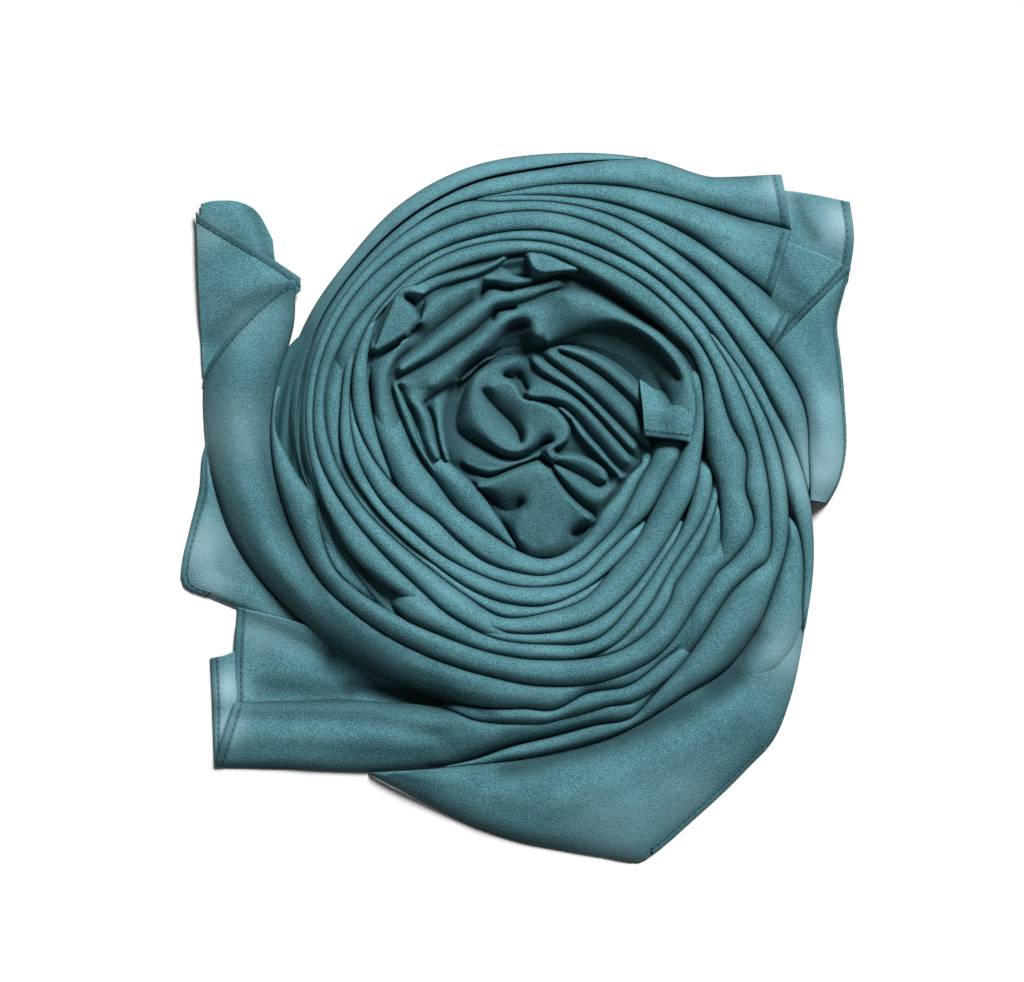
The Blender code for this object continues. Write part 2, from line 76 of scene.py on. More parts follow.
# Crease lines of the coil. Each row is bearing in degrees: distance in mm from the swirl's centre. Bearings
# turn anticlockwise from +X, and run on past 360 or start below 0 where a line winds round more than once.
CREASES: dict[str, CurveTable] = {
    "rim": {
        62: 160.4, 66: 158.8,
        70: 157.2, 80: 153.2, 90: 150.5, 105: 148.8, 120: 144.8, 135: 138.8, 150: 137, 165: 134.8,
        180: 129, 188: 125, 194: 121,
    },
    "second": {
        50: 183, 55: 170, 60: 161, 68: 157.8, 71: 156.8, 75: 152.6, 90: 143.5, 105: 140.5, 120: 136.5, 135: 132.5,
        150: 130.2, 165: 126.5, 180: 122.5, 194: 115,
    },
    "third": {
        42.5: 166, 50: 154, 60: 145.5, 75: 138.5, 90: 134, 100: 131.8, 113: 132.8, 120: 131, 135: 128.5,
        150: 126.5, 165: 122.8, 180: 117.5, 194: 112.2,
    },
    "fourth": {29.5: 140, 35: 137, 45: 132, 60: 129.8, 75: 129.2, 90: 129, 100: 130.7, 107: 132.3},
    "fifth": {
        -10: 133.8, -5: 132, 0: 131, 10: 131, 20: 126.5, 25: 124, 30: 121.8, 45: 119.8, 60: 120.2,
        75: 123.5,
        90: 126, 100: 127.8, 107: 131.8, 120: 131, 135: 128.5, 150: 126.5, 165: 122.8, 180: 117.5, 195: 112,
        206: 109, 216: 104.5, 226: 99.5, 234: 96, 242: 94,
    },
    "sixth": {
        -34: 156.5, -30: 151.8, -20: 142.5, -10: 133.8, 0: 125, 10: 116.8, 15: 114, 30: 109.5, 45: 109.5,
        60: 111.2, 75: 116.2, 90: 120.8, 105: 122.2, 120: 123.2, 135: 123.8, 150: 122.2, 165: 118.8,
        180: 113, 195: 102.5, 210: 95, 225: 91.5, 240: 92.8, 255: 94.5, 270: 94, 285: 95, 300: 85.8,
        315: 79,
        330: 77, 345: 75.8, 360: 77.5,
    },
    "seventh": {
        -34: 154, -30: 148, -20: 136, -10: 122.5, 0: 116.2, 15: 108.5, 30: 103.5, 45: 101.8, 60: 103.8,
        75: 106.5, 90: 111, 105: 112.8, 120: 114.5, 135: 114.5, 150: 115.2, 165: 113.5, 180: 105.5, 195: 95,
        210: 85.5, 225: 80.5, 240: 80.2, 255: 83.2, 270: 78.5, 285: 74.2, 300: 65.8, 315: 62.5, 330: 60,
        345: 61, 360: 67, 375: 76.5, 390: 80.2,
    },
    "wedge_outer": {-60: 160, -50: 160, -42: 158, -34: 154, -30: 148, -20: 136, -12: 124.8},
    "lower_lip": {
        -110: 166.5, -103: 158.5, -90: 149.5, -75: 143.8, -60: 138.5, -50: 140, -40: 136.8, -30: 131.5,
        -20: 128,
        -10: 122.2, 0: 116.2, 15: 108.5, 30: 103.5, 40: 101.9,
    },
    "tail_outer": {
        -136.6: 227, -133: 214, -128: 199.5, -120: 183, -110: 166.5, -103: 156, -97: 147, -90: 141.5,
        -80: 137.2,
        -72: 138, -66: 131.5, -60: 126.5, -45: 116.8, -37: 114.8, -30: 117.8, -25: 122, -15: 115.8,
        0: 107.8,
        15: 102.8, 30: 100.5, 40: 101.2,
    },
    "tail_inner": {
        -141.4: 197.8, -137: 180, -130: 159, -120: 143, -115: 138, -110: 135.8, -105: 136.8, -96: 134.8,
        -90: 133.5, -85: 131.2, -76: 128.8, -70: 130.5, -60: 126.5, -50: 119.5,
    },
    "drape_outer": {
        -192.7: 174.8, -186: 171.4, -180: 168.8, -174: 166, -166.7: 162.9, -160: 158.6, -150: 150.5,
        -140: 145,
        -130: 140, -120: 134.8, -110: 132, -95: 126.8, -88: 127, -80: 120.5, -70: 122, -60: 117.5,
        -50: 116.8, -45: 116, -37: 114.6, -30: 117,
    },
    "drape_inner": {
        -214.4: 150.4, -208.4: 142, -203.5: 139, -198: 138.5, -190: 138, -180: 136.2, -165: 131.5,
        -150: 128,
        -135: 120.8, -120: 115.5, -105: 113.5, -90: 114.8, -75: 116.2, -60: 114.2, -45: 105.5, -35: 103.5,
        -30: 106, -19: 109.2, -10: 100.8, 0: 99.5, 8: 94, 15: 92.2, 30: 94, 45: 95, 60: 97, 75: 100,
        90: 105.2,
        105: 109, 120: 111, 135: 110.2, 150: 107, 165: 99, 180: 86.5, 195: 73.5, 210: 63.5, 225: 61,
        240: 60.8,
        255: 60.2, 270: 60, 285: 56.5, 300: 52, 315: 49.8, 330: 48, 345: 48.8, 360: 53.5,
    },
    "strip_inner": {
        -190: 136, -185: 134.5, -180: 128.5, -175: 123.2, -170: 117, -165: 117.2, -155: 119, -150: 118.5,
        -135: 109.5, -120: 103.5, -105: 101.8, -90: 101.8, -80: 103, -70: 104, -60: 101.5, -50: 95.5,
        -45: 91,
        -30: 89, -15: 88.5,
    },
    "basin_outer": {
        -40: 104.2, -30: 99, -20: 92.5, -10: 86.5, 0: 80.2, 15: 81.5, 25: 85.5, 35: 87.8, 45: 86, 60: 86.2,
        75: 91, 90: 99.5, 105: 101, 120: 103.5, 130: 106, 136: 108, 150: 106.6,
    },
    "basin_step": {
        -130: 107, -120: 103.5, -105: 101.8, -90: 101.8, -80: 102.4, -70: 100.4, -60: 94.2, -45: 85.2,
        -35: 83.2,
        -20: 84.5, -10: 84.2, 0: 80.2,
    },
    "broad_outer": {
        224: 91.4, 232: 91.2, 240: 89.8, 255: 90.5, 270: 88.5, 285: 86, 300: 80.5, 315: 75.5, 330: 74, 345: 75.8, 360: 77.5,
        375: 81.5,
        390: 86.8,
    },
    "left_mid": {
        134: 113.5, 142: 113, 150: 111, 165: 104.8, 180: 100.5, 195: 90.5, 210: 82.2, 225: 77.2, 240: 76.5, 255: 76.2, 270: 74.8,
        285: 70, 300: 65.5, 315: 62.5, 330: 60,
    },
    "left_inner": {
        138: 110.4, 150: 107.6, 165: 100.5, 180: 93.5, 195: 84.8, 210: 75.8, 225: 71.2, 240: 68, 255: 67, 270: 65.5,
        285: 64,
        300: 58.2, 315: 56.5, 330: 59, 345: 61, 360: 67, 370: 73,
    },
    "left_step": {175: 89.5, 185: 83, 190: 81.5, 195: 77.8, 210: 70.5, 225: 66.8, 240: 67.5, 250: 67.2},
    "shoulder": {
        130: 90, 145: 92, 155: 92, 165: 88.8, 180: 80, 195: 73.5, 210: 63.5, 225: 61, 240: 60.8, 255: 60.2,
        270: 60, 285: 56.5, 300: 52, 315: 49.8, 330: 48, 345: 48.8, 360: 53.5,
    },
    "hooked_edge": {
        140: 108, 146: 104, 152: 100, 157: 95.5, 160: 93, 165: 89.4, 170: 86, 180: 80.2, 190: 75.8, 195: 73.5,
    },
    "ledge": {
        60: 81, 75: 83, 90: 85, 105: 84.2, 120: 82.8, 135: 81.8, 150: 86.5, 160: 78.5, 165: 73, 180: 63,
        195: 55.2,
        210: 51.5, 225: 48.2, 240: 47.5, 255: 49.8, 270: 51.8, 285: 49, 300: 44.2, 315: 39.8, 330: 40.5,
        345: 42.5,
        355: 48,
    },
    "inner_ledge": {
        50: 84.5, 60: 81, 75: 82, 90: 78.5, 105: 74, 120: 69.8, 130: 70, 140: 75, 150: 80, 160: 66, 165: 59,
        180: 51.5, 188: 45, 198: 39.8, 208: 37.6, 218: 37, 228: 38, 238: 40.2, 245: 43.2, 252: 47.2, 256: 49.4,
    },
    "crossing": {
        60: 72.5, 70: 66, 80: 61, 90: 62, 105: 64, 120: 58.8, 135: 57.5, 150: 57.2, 165: 52, 180: 46,
    },
    "right_wall": {
        0: 67, 10: 74.2, 15: 76.5, 25: 80.2, 30: 80.2, 45: 78.5, 60: 72.5, 70: 66, 80: 61, 90: 62,
    },
    "well": {
        0: 53.5, 10: 50, 20: 53, 30: 60, 35: 62, 45: 56.2, 55: 55, 75: 55.5, 90: 52.5, 105: 53.5,
        120: 54, 135: 52.8,
        150: 48.5, 160: 46, 170: 43.5,
    },
    "right_hem": {
        -13: 138.5, -9.6: 143.5, -4.8: 148, 1: 150.5, 10: 152, 20: 156.5, 25: 161.3, 31: 177,
    },
    "bottom_hem": {
        -119: 182, -110: 183.5, -101.5: 188.8, -93.7: 193.9, -87.8: 197.6, -82: 202.9, -77: 209, -75: 206.8,
        -68.4: 197.3, -62.8: 191.2, -56.5: 185.8, -51: 182.3, -45: 173.2, -39: 163.6, -34: 156.5, -30: 151, -24: 143,
    },
    "under_hem": {
        -184: 167.5, -180: 171, -174.2: 173.4, -168: 181.4, -163: 189.6, -160: 192, -157: 182, -153.4: 171.8,
        -144.5: 151.5, -140: 145.5, -136: 139,
    },
}


class Held(Enum):
    """How a stretch of cloth lies."""

    FOLDED = "folded"
    LAID = "laid"
    GATHERED = "gathered"


class Slot(Enum):
    """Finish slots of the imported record."""

    TEAL = "teal_chiffon"
    SINGLE = "single_layer_chiffon"
    HIDDEN = "hidden_chiffon"


class Edge(Enum):
    """Sides of a cloth grid: its first and last row, and its first and last column."""

    START = "start"
    END = "end"
    FIRST = "first"
    LAST = "last"


def between(low: float, high: float, share: float) -> float:
    """The number that lies a share of the way from low to high."""
    return low + (high - low) * share


def read_curve(curve: CurveTable, place: float) -> float:
    """Smooth value of a table at a place, held flat past its ends.

    Args:
        curve: Values by place.
        place: Where to read it.

    Returns:
        The value there.
    """
    places = sorted(curve)
    if place <= places[0]:
        return curve[places[0]]
    if place >= places[-1]:
        return curve[places[-1]]
    last = next(i for i, p in enumerate(places) if p >= place)
    x1, x2 = places[last - 1], places[last]
    y1, y2 = curve[x1], curve[x2]
    before = places[max(last - 2, 0)]
    after = places[min(last + 1, len(places) - 1)]
    slope1 = (y2 - curve[before]) / (x2 - before)
    slope2 = (curve[after] - y1) / (after - x1)
    span = x2 - x1
    s = (place - x1) / span
    return (
        y1 * (2 * s**3 - 3 * s**2 + 1)
        + slope1 * span * (s**3 - 2 * s**2 + s)
        + y2 * (3 * s**2 - 2 * s**3)
        + slope2 * span * (s**3 - s**2)
    )


CREST_CURVE = {radius: crest for radius, crest, _ in HEAP_PROFILE}
DEPTH_CURVE = {radius: depth for radius, _, depth in HEAP_PROFILE}


def crease_height(radius: float) -> float:
    """Height in mm of the creases at a distance from the swirl's centre."""
    return read_curve(CREST_CURVE, radius) - read_curve(DEPTH_CURVE, radius)


def on_crease(name: str, bearing: Bearing) -> Vector:
    """Point of a crease line at a bearing, in mm from the swirl's centre."""
    radius = read_curve(CREASES[name], bearing)
    angle = math.radians(bearing)
    return Vector((radius * math.cos(angle), radius * math.sin(angle), crease_height(radius)))


def smooth_line(points: Sequence[Vector], count: int) -> list[Vector]:
    """Points evenly spaced in parameter on a smooth line through the given ones.

    Args:
        points: Points that the line passes through.
        count: How many points to return.

    Returns:
        The points of the line.
    """
    last = len(points) - 1
    line = []
    for i in range(count):
        place = last * i / (count - 1)
        k = min(int(place), last - 1)
        s = place - k
        p1, p2 = points[k], points[k + 1]
        p0 = points[k - 1] if k > 0 else p1 * 2 - p2
        p3 = points[k + 2] if k + 2 <= last else p2 * 2 - p1
        line.append(
            0.5 * ((p1 * 2) + (p2 - p0) * s + (p0 * 2 - p1 * 5 + p2 * 4 - p3) * s**2
                   + (p1 * 3 - p0 - p2 * 3 + p3) * s**3)
        )
    return line


# Places where one layer lies alone on the white floor, so that the floor shines through. Columns: x and y in
# mm from the swirl's centre, radius in mm, share.
SHEER_SPOTS = (
    (140, -6, 20, 0.55), (144, 20, 14, 0.25), (-176, -44, 15, 0.7), (-168, -64, 12, 0.45), (-163, 12, 20, 0.28),
    (-161, -116, 9, 0.9), (-161, -136, 9, 0.8), (148, 116, 11, 0.75), (121, -98, 16, 0.35), (-150, 66, 14, 0.15),
    (118, 134, 9, 0.5), (32, -190, 20, 0.2), (70, -175, 22, 0.15), (-170, 110, 8, 0.35), (-140, -88, 14, 0.2),
)


def sheerness(x: float, y: float) -> float:
    """How much of the floor shines through the cloth at a place, from 0 to 1."""
    found = 0.0
    for spot_x, spot_y, radius, share in SHEER_SPOTS:
        near = ((x - spot_x) ** 2 + (y - spot_y) ** 2) / radius**2
        if near < 4:
            found = max(found, share * math.exp(-near))
    return found


PICTURE_CENTRE = (545, 455)
MM_PER_PIXEL = 0.5


def from_picture(*points: tuple[float, float]) -> tuple[tuple[float, float], ...]:
    """Points of the picture, in its pixels, as (x, y) in mm from the swirl's centre."""
    return tuple(
        ((x - PICTURE_CENTRE[0]) * MM_PER_PIXEL, (PICTURE_CENTRE[1] - y) * MM_PER_PIXEL) for x, y in points
    )


# Soft troughs, or ridges where the depth is negative, in the broad sheets: half width and depth in mm, line. Troughs
# also darken the cloth's painted shade.
TROUGHS = (
    (5.0, 2.6, from_picture((505, 774), (560, 758), (630, 735), (690, 712), (735, 680))),
    (6.0, 3.0, from_picture((715, 690), (735, 668), (752, 640))),
    (5.5, -1.6, from_picture((560, 800), (640, 770), (700, 742), (745, 705), (772, 660))),
    (6.0, 1.6, from_picture((300, 335), (262, 400), (262, 470), (285, 540), (320, 590))),
    (7.0, -1.5, from_picture((240, 350), (228, 410), (238, 480), (262, 540), (300, 595))),
    (4.0, 1.8, from_picture((350, 690), (400, 692), (450, 700), (490, 716))),
    (5.0, 1.6, from_picture((770, 300), (810, 330), (830, 390))),
    (5.0, -1.4, from_picture((785, 350), (815, 400), (825, 450))),
    (4.0, 1.3, from_picture((650, 185), (700, 200), (745, 222))),
    (4.0, -1.2, from_picture((640, 170), (700, 185), (770, 200))),
    (4.0, 1.3, from_picture((680, 262), (730, 285), (765, 315))),
    (4.0, -1.2, from_picture((250, 735), (320, 738), (400, 740))),
    (3.0, 1.3, from_picture((240, 715), (300, 716), (380, 722), (440, 735))),
    (3.5, 2.5, from_picture((654, 376), (662, 390), (668, 402))),
    (7.0, 2.6, from_picture((330, 668), (380, 690), (440, 702))),
    (6.0, 2.0, from_picture((262, 690), (300, 693), (345, 694))),
    (5.0, 1.8, from_picture((240, 618), (280, 634), (330, 655))),
    (6.0, 1.8, from_picture((213, 340), (240, 312), (280, 296))),
    (4.0, 1.6, from_picture((250, 215), (265, 240), (270, 262))),
    (5.0, 1.5, from_picture((800, 300), (780, 280), (775, 262))),
    (4.0, 1.4, from_picture((795, 205), (800, 222), (812, 240))),
)


def trough_depth(x: float, y: float) -> float:
    """How far in mm the cloth dips at a place, below zero on a ridge."""
    depth = 0.0
    for width, deep, line in TROUGHS:
        nearest = 1e9
        for (x1, y1), (x2, y2) in zip(line, line[1:]):
            length = (x2 - x1) ** 2 + (y2 - y1) ** 2
            share = max(0.0, min(1.0, ((x - x1) * (x2 - x1) + (y - y1) * (y2 - y1)) / length))
            nearest = min(nearest, math.hypot(x - between(x1, x2, share), y - between(y1, y2, share)))
        if nearest < 3 * width:
            depth += deep * math.exp(-((nearest / width) ** 2))
    return depth


@dataclass
class ClothGrid:
    """Upper face of a stretch of cloth, as rows of points in mm from the swirl's centre.

    Shades are painted shade, from 0 to 1, darker the deeper in a crease each point lies.
    """

    rows: list[list[Vector]]
    shades: Optional[list[list[float]]] = None

    def flat_size(self) -> tuple[float, float]:
        """Width and length in metres of the stretch if it were pulled flat."""
        width = sum(
            sum((b - a).length for a, b in zip(row, row[1:])) for row in self.rows
        ) / len(self.rows)
        area = sum(
            (c - a).cross(b - a).length / 2 + (c - d).cross(b - d).length / 2
            for row, after in zip(self.rows, self.rows[1:])
            for a, b, c, d in zip(row, row[1:], after, after[1:])
        )
        length = area / width
        return width * MM, length * MM

    def inward(self, side: Edge) -> list[list[Vector]]:
        """Lines of points that run inwards from one side.

        Args:
            side: Which side.

        Returns:
            One line for each point of the side.
        """
        if side is Edge.START:
            return [list(line) for line in zip(*self.rows)]
        if side is Edge.END:
            return [list(line) for line in zip(*self.rows[::-1])]
        if side is Edge.FIRST:
            return [list(row) for row in self.rows]
        return [row[::-1] for row in self.rows]

    def mesh(self, name: str, thick: float) -> bpy.types.Mesh:
        """Thin closed shell under the grid, with a UV map in metres along and across it.

        Args:
            name: Name of the mesh.
            thick: Thickness of the shell in mm.

        Returns:
            The mesh.
        """
        count, columns = len(self.rows), len(self.rows[0])
        shell = bmesh.new()
        layer = shell.loops.layers.uv.new("UVMap")
        # fold_shade holds painted shade: the colour is darkened in the creases, where shade falls.
        shade = shell.verts.layers.float.new("fold_shade")
        sheer = shell.verts.layers.float.new("sheer")
        bmesh.ops.create_grid(shell, x_segments=columns - 1, y_segments=count - 1, size=1.0)
        corners = sorted(shell.verts, key=lambda v: (round(v.co.y, 6), round(v.co.x, 6)))
        along = 0.0
        place: dict[bmesh.types.BMVert, tuple[float, float]] = {}
        for r, row in enumerate(self.rows):
            if r:
                along += sum((b - a).length for a, b in zip(self.rows[r - 1], row)) / columns
            across = 0.0
            for c, point in enumerate(row):
                if c:
                    across += (point - row[c - 1]).length
                vertex = corners[r * columns + c]
                vertex.co = (Vector((CENTRE_X, CENTRE_Y, 0.0)) + point) * MM
                place[vertex] = (along * MM, across * MM)
                vertex[shade] = self.shades[r][c] if self.shades else 0.0
                vertex[sheer] = sheerness(point.x, point.y)
        for face in shell.faces:
            face.smooth = True
            for loop in face.loops:
                loop[layer].uv = place[loop.vert]
        bmesh.ops.recalc_face_normals(shell, faces=shell.faces[:])
        shell.normal_update()
        if sum(face.normal.z for face in shell.faces) < 0:
            bmesh.ops.reverse_faces(shell, faces=shell.faces[:])
        thicken(shell, thick * MM)
        data = bpy.data.meshes.new(name)
        shell.to_mesh(data)
        shell.free()
        return data


def thicken(shell: bmesh.types.BMesh, thick: float) -> None:
    """Gives an open sheet an even thickness below its faces and closes its sides.

    Args:
        shell: The sheet, faces upwards.
        thick: Thickness in metres.
    """
    shell.normal_update()
    normals = {v.co.to_tuple(7): v.normal.copy() for v in shell.verts}
    lower = bmesh.ops.extrude_face_region(shell, geom=shell.faces[:], use_keep_orig=True)
    for item in lower["geom"]:
        if isinstance(item, bmesh.types.BMVert):
            item.co -= normals[item.co.to_tuple(7)] * thick
    bmesh.ops.recalc_face_normals(shell, faces=shell.faces[:])


def put(
    name: str, data: bpy.types.Mesh, material: bpy.types.Material
) -> bpy.types.Object:
    """Puts a mesh in the scene as a piece that rides on the scarf.

    Args:
        name: Name of the piece.
        data: Its mesh.
        material: Its finish.

    Returns:
        The piece.
    """
    data.materials.append(material)
    piece = bpy.data.objects.new(name, data)
    bpy.context.scene.collection.objects.link(piece)
    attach(piece, ROOT)
    return piece


@dataclass(frozen=True)
class Fold:
    """One fold of the coil, an arch between two crease lines.

    Bearings of the inner crease are ahead of the outer one's by whole turns, or are given in pairs where an
    end is cut off at a slant. Swell, lean, lift are tables by the outer bearing: share of the full arch,
    where its crest lies from the outer to the inner edge, and mm that the whole section rises.
    """

    node: str
    outer: str
    inner: str
    first: Bearing
    last: Bearing
    turns: int = 0
    slant: tuple[tuple[float, float], ...] = ()
    outer_z: Optional[float] = None
    outer_heights: Optional[CurveTable] = None
    inner_heights: Optional[CurveTable] = None
    swell: CurveTable = field(default_factory=lambda: {0: 1.0})
    lean: CurveTable = field(default_factory=lambda: {0: 0.5})
    lift: CurveTable = field(default_factory=lambda: {0: 0.0})
    ripple: float = 0.5
    taper_first: float = 9.0
    taper_last: float = 9.0
    sink: float = 5.0
    tuck_outer: float = 4.0
    tuck_inner: float = 4.0
    power: float = 2.0
    bulge_first: float = 0.0

    STEP = 1.25
    COLUMNS = 18
    STEEPEST = 0.42
    HIGHEST = 6.5

    def pairs(self) -> list[tuple[float, float]]:
        """Bearings on the outer and inner crease of each row of the grid."""
        rows: list[tuple[float, float]] = []
        for (o1, i1), (o2, i2) in zip(self.slant, self.slant[1:]):
            steps = max(2, round(max(abs(o2 - o1), abs(i2 - i1)) / self.STEP))
            rows += [(between(o1, o2, k / steps), between(i1, i2, k / steps)) for k in range(steps)]
        if self.slant:
            rows.append(self.slant[-1])
        if not self.slant or self.last > self.slant[-1][0] or self.last < self.slant[0][0]:
            first = self.slant[-1][0] if self.slant else self.first
            steps = max(2, round(abs(self.last - first) / self.STEP))
            more = [between(first, self.last, k / steps) for k in range(1 if self.slant else 0, steps + 1)]
            rows += [(b, b + 360 * self.turns) for b in more]
        return rows

    def grid(self) -> ClothGrid:
        """The fold's upper face."""
        rows = []
        shades = []
        along = 0.0
        before: Optional[Vector] = None
        seed = sum(ord(letter) for letter in self.node) * 0.37
        for outer_bearing, inner_bearing in self.pairs():
            start = on_crease(self.outer, outer_bearing)
            end = on_crease(self.inner, inner_bearing)
            if self.outer_z is not None:
                start.z = self.outer_z
            if self.outer_heights is not None:
                start.z = read_curve(self.outer_heights, outer_bearing)
            if self.inner_heights is not None:
                end.z = read_curve(self.inner_heights, outer_bearing)
            middle = (start + end) / 2
            if before is not None:
                along += (middle - before).length
            before = middle
            rows.append(self.section(start, end, outer_bearing, along, seed))
            # Painted shade across the arch, darkest at the creases on its edges.
            shades.append([1.0 - self.bow((1 - math.cos(math.pi * i / self.COLUMNS)) / 2) for i in range(self.COLUMNS + 1)])
        middles = [(row[0] + row[-1]) / 2 for row in rows]
        self.round_off(rows, middles)
        reached = [0.0]
        for a, b in zip(middles, middles[1:]):
            reached.append(reached[-1] + (b - a).length)
        for row, place in zip(rows, reached):
            near = 1.0
            if self.taper_first:
                near = min(near, place / self.taper_first)
            if self.taper_last:
                near = min(near, (reached[-1] - place) / self.taper_last)
            drop = self.sink * (1 - near) ** 2
            for point in row:
                point.z = max(point.z - drop, FLOOR + 0.9)
        # Troughs sink the cloth and darken its painted shade.
        for row, painted_shades in zip(rows, shades):
            for k, point in enumerate(row):
                found = trough_depth(point.x, point.y)
                point.z = max(point.z - found, FLOOR + 0.9)
                painted_shades[k] = min(1.0, painted_shades[k] + 0.16 * max(0.0, found))
        return ClothGrid(rows, shades)

    def round_off(self, rows: list[list[Vector]], middles: list[Vector]) -> None:
        """Bends the first edge outwards where the fold ends in a rounded free edge.

        Args:
            rows: The fold's rows of points, which are moved.
            middles: The middle of each row.
        """
        if not self.bulge_first:
            return
        way = (middles[0] - middles[12]).normalized()
        for row, middle in zip(rows, middles):
            share = max(0.0, 1 - (middle - middles[0]).length / 28) ** 2
            for k, point in enumerate(row):
                across = k / self.COLUMNS
                point.x += way.x * self.bulge_first * 4 * across * (1 - across) * share
                point.y += way.y * self.bulge_first * 4 * across * (1 - across) * share

    def bow(self, place: float) -> float:
        """Height of the arch's profile at a share of the way across, from 0 to 1."""
        return (1 - abs(2 * place - 1) ** self.power) ** 0.55

    def section(self, start: Vector, end: Vector, bearing: Bearing, along: float, seed: float) -> list[Vector]:
        """Points of one row, from the outer to the inner crease.

        Args:
            start: Point on the outer crease.
            end: Point on the inner crease.
            bearing: The outer crease's bearing there.
            along: Distance in mm along the fold.
            seed: Place in the noise that is the fold's own.

        Returns:
            The points.
        """
        width = math.dist(start.xy, end.xy)
        rise = min(self.HIGHEST, self.STEEPEST * width) * read_curve(self.swell, bearing)
        rise *= 1.0 + 0.16 * noise.noise(Vector((along * 0.035, seed, 1.7)))
        lean = read_curve(self.lean, bearing) + 0.05 * noise.noise(Vector((along * 0.03, seed, 9.1)))
        bend = math.log(0.5) / math.log(max(0.15, min(0.85, lean)))
        lift = read_curve(self.lift, bearing)
        points = []
        for i in range(self.COLUMNS + 1):
            share = (1 - math.cos(math.pi * i / self.COLUMNS)) / 2
            place = share**bend
            bow = self.bow(place)
            point = start.lerp(end, share)
            edge = min(1.0, 4.0 * bow)
            wave = noise.noise(Vector((along * 0.022, share * width * 0.17, seed)))
            fine = noise.noise(Vector((along * 0.09, share * width * 0.3, seed + 40)))
            point.z += rise * bow + lift * edge
            point.z += edge * self.ripple * (1.5 * wave + 0.5 * fine)
            if i == 0:
                point.z -= self.tuck_outer
            if i == self.COLUMNS:
                point.z -= self.tuck_inner
            point.z = max(point.z, FLOOR + 0.9)
            points.append(point)
        return points


@dataclass(frozen=True)
class CrepeLook:
    """Finish of the crepe chiffon."""

    name: str
    shade: tuple[float, float, float, float]
    light: tuple[float, float, float, float]
    sheer: tuple[float, float, float, float]
    # Colour of the painted shade in the creases, and the largest share of it that is mixed in.
    crease: tuple[float, float, float, float] = (0.009, 0.034, 0.042, 1)
    painted_shade_share: float = 0.85
    roughness: float = 0.85
    sheen: float = 0.1
    grain_depth: float = 0.00045

    def material(self, grain: bpy.types.ShaderNodeTree) -> bpy.types.Material:
        """Material that reads the crepe grain in its own proportions.

        Args:
            grain: The shared crepe node group.

        Returns:
            The material.
        """
        made = bpy.data.materials.new(self.name)
        made.use_nodes = True
        nodes, links = made.node_tree.nodes, made.node_tree.links
        shader = nodes["Principled BSDF"]
        shader.inputs["Roughness"].default_value = self.roughness
        shader.inputs["Specular IOR Level"].default_value = 0.25
        shader.inputs["Sheen Weight"].default_value = self.sheen
        shader.inputs["Sheen Roughness"].default_value = 0.6
        shader.inputs["Sheen Tint"].default_value = self.light
        place = nodes.new("ShaderNodeTexCoord")
        crepe = nodes.new("ShaderNodeGroup")
        crepe.node_tree = grain
        links.new(place.outputs["Object"], crepe.inputs["Place"])
        tone = self.blend(made, crepe.outputs["Tone"], 1.0)
        tone.inputs["A"].default_value = self.shade
        tone.inputs["B"].default_value = self.light
        # Painted shade: darkens the colour toward the crease colour where fold_shade is high, standing in for the shade
        # deep in the creases.
        painted_crease_shade = self.blend(made, self.reading(made, "fold_shade"), self.painted_shade_share)
        links.new(tone.outputs["Result"], painted_crease_shade.inputs["A"])
        painted_crease_shade.inputs["B"].default_value = self.crease
        # Painted light: paler where the white floor's light shines through a single layer.
        thin = self.blend(made, self.reading(made, "sheer"), 1.0)
        links.new(painted_crease_shade.outputs["Result"], thin.inputs["A"])
        thin.inputs["B"].default_value = self.sheer
        links.new(thin.outputs["Result"], shader.inputs["Base Color"])
        bump = nodes.new("ShaderNodeBump")
        bump.inputs["Strength"].default_value = 1.0
        bump.inputs["Distance"].default_value = self.grain_depth
        links.new(crepe.outputs["Height"], bump.inputs["Height"])
        links.new(bump.outputs["Normal"], shader.inputs["Normal"])
        return made


    def reading(self, made: bpy.types.Material, name: str) -> bpy.types.NodeSocket:
        """Value of one of the piece's attributes."""
        found = made.node_tree.nodes.new("ShaderNodeAttribute")
        found.attribute_name = name
        return found.outputs["Fac"]

    def blend(self, made: bpy.types.Material, mask: bpy.types.NodeSocket, most: float) -> bpy.types.Node:
        """Mix of two colours by a mask.

        Args:
            made: The material.
            mask: Where the second colour shows, from 0 to 1.
            most: Largest share of the second colour.

        Returns:
            The mix node.
        """
        nodes, links = made.node_tree.nodes, made.node_tree.links
        mix = nodes.new("ShaderNodeMix")
        mix.data_type = "RGBA"
        scale = nodes.new("ShaderNodeMath")
        scale.operation = "MULTIPLY"
        scale.use_clamp = True
        scale.inputs[1].default_value = most
        links.new(mask, scale.inputs[0])
        links.new(scale.outputs["Value"], mix.inputs["Factor"])
        return mix


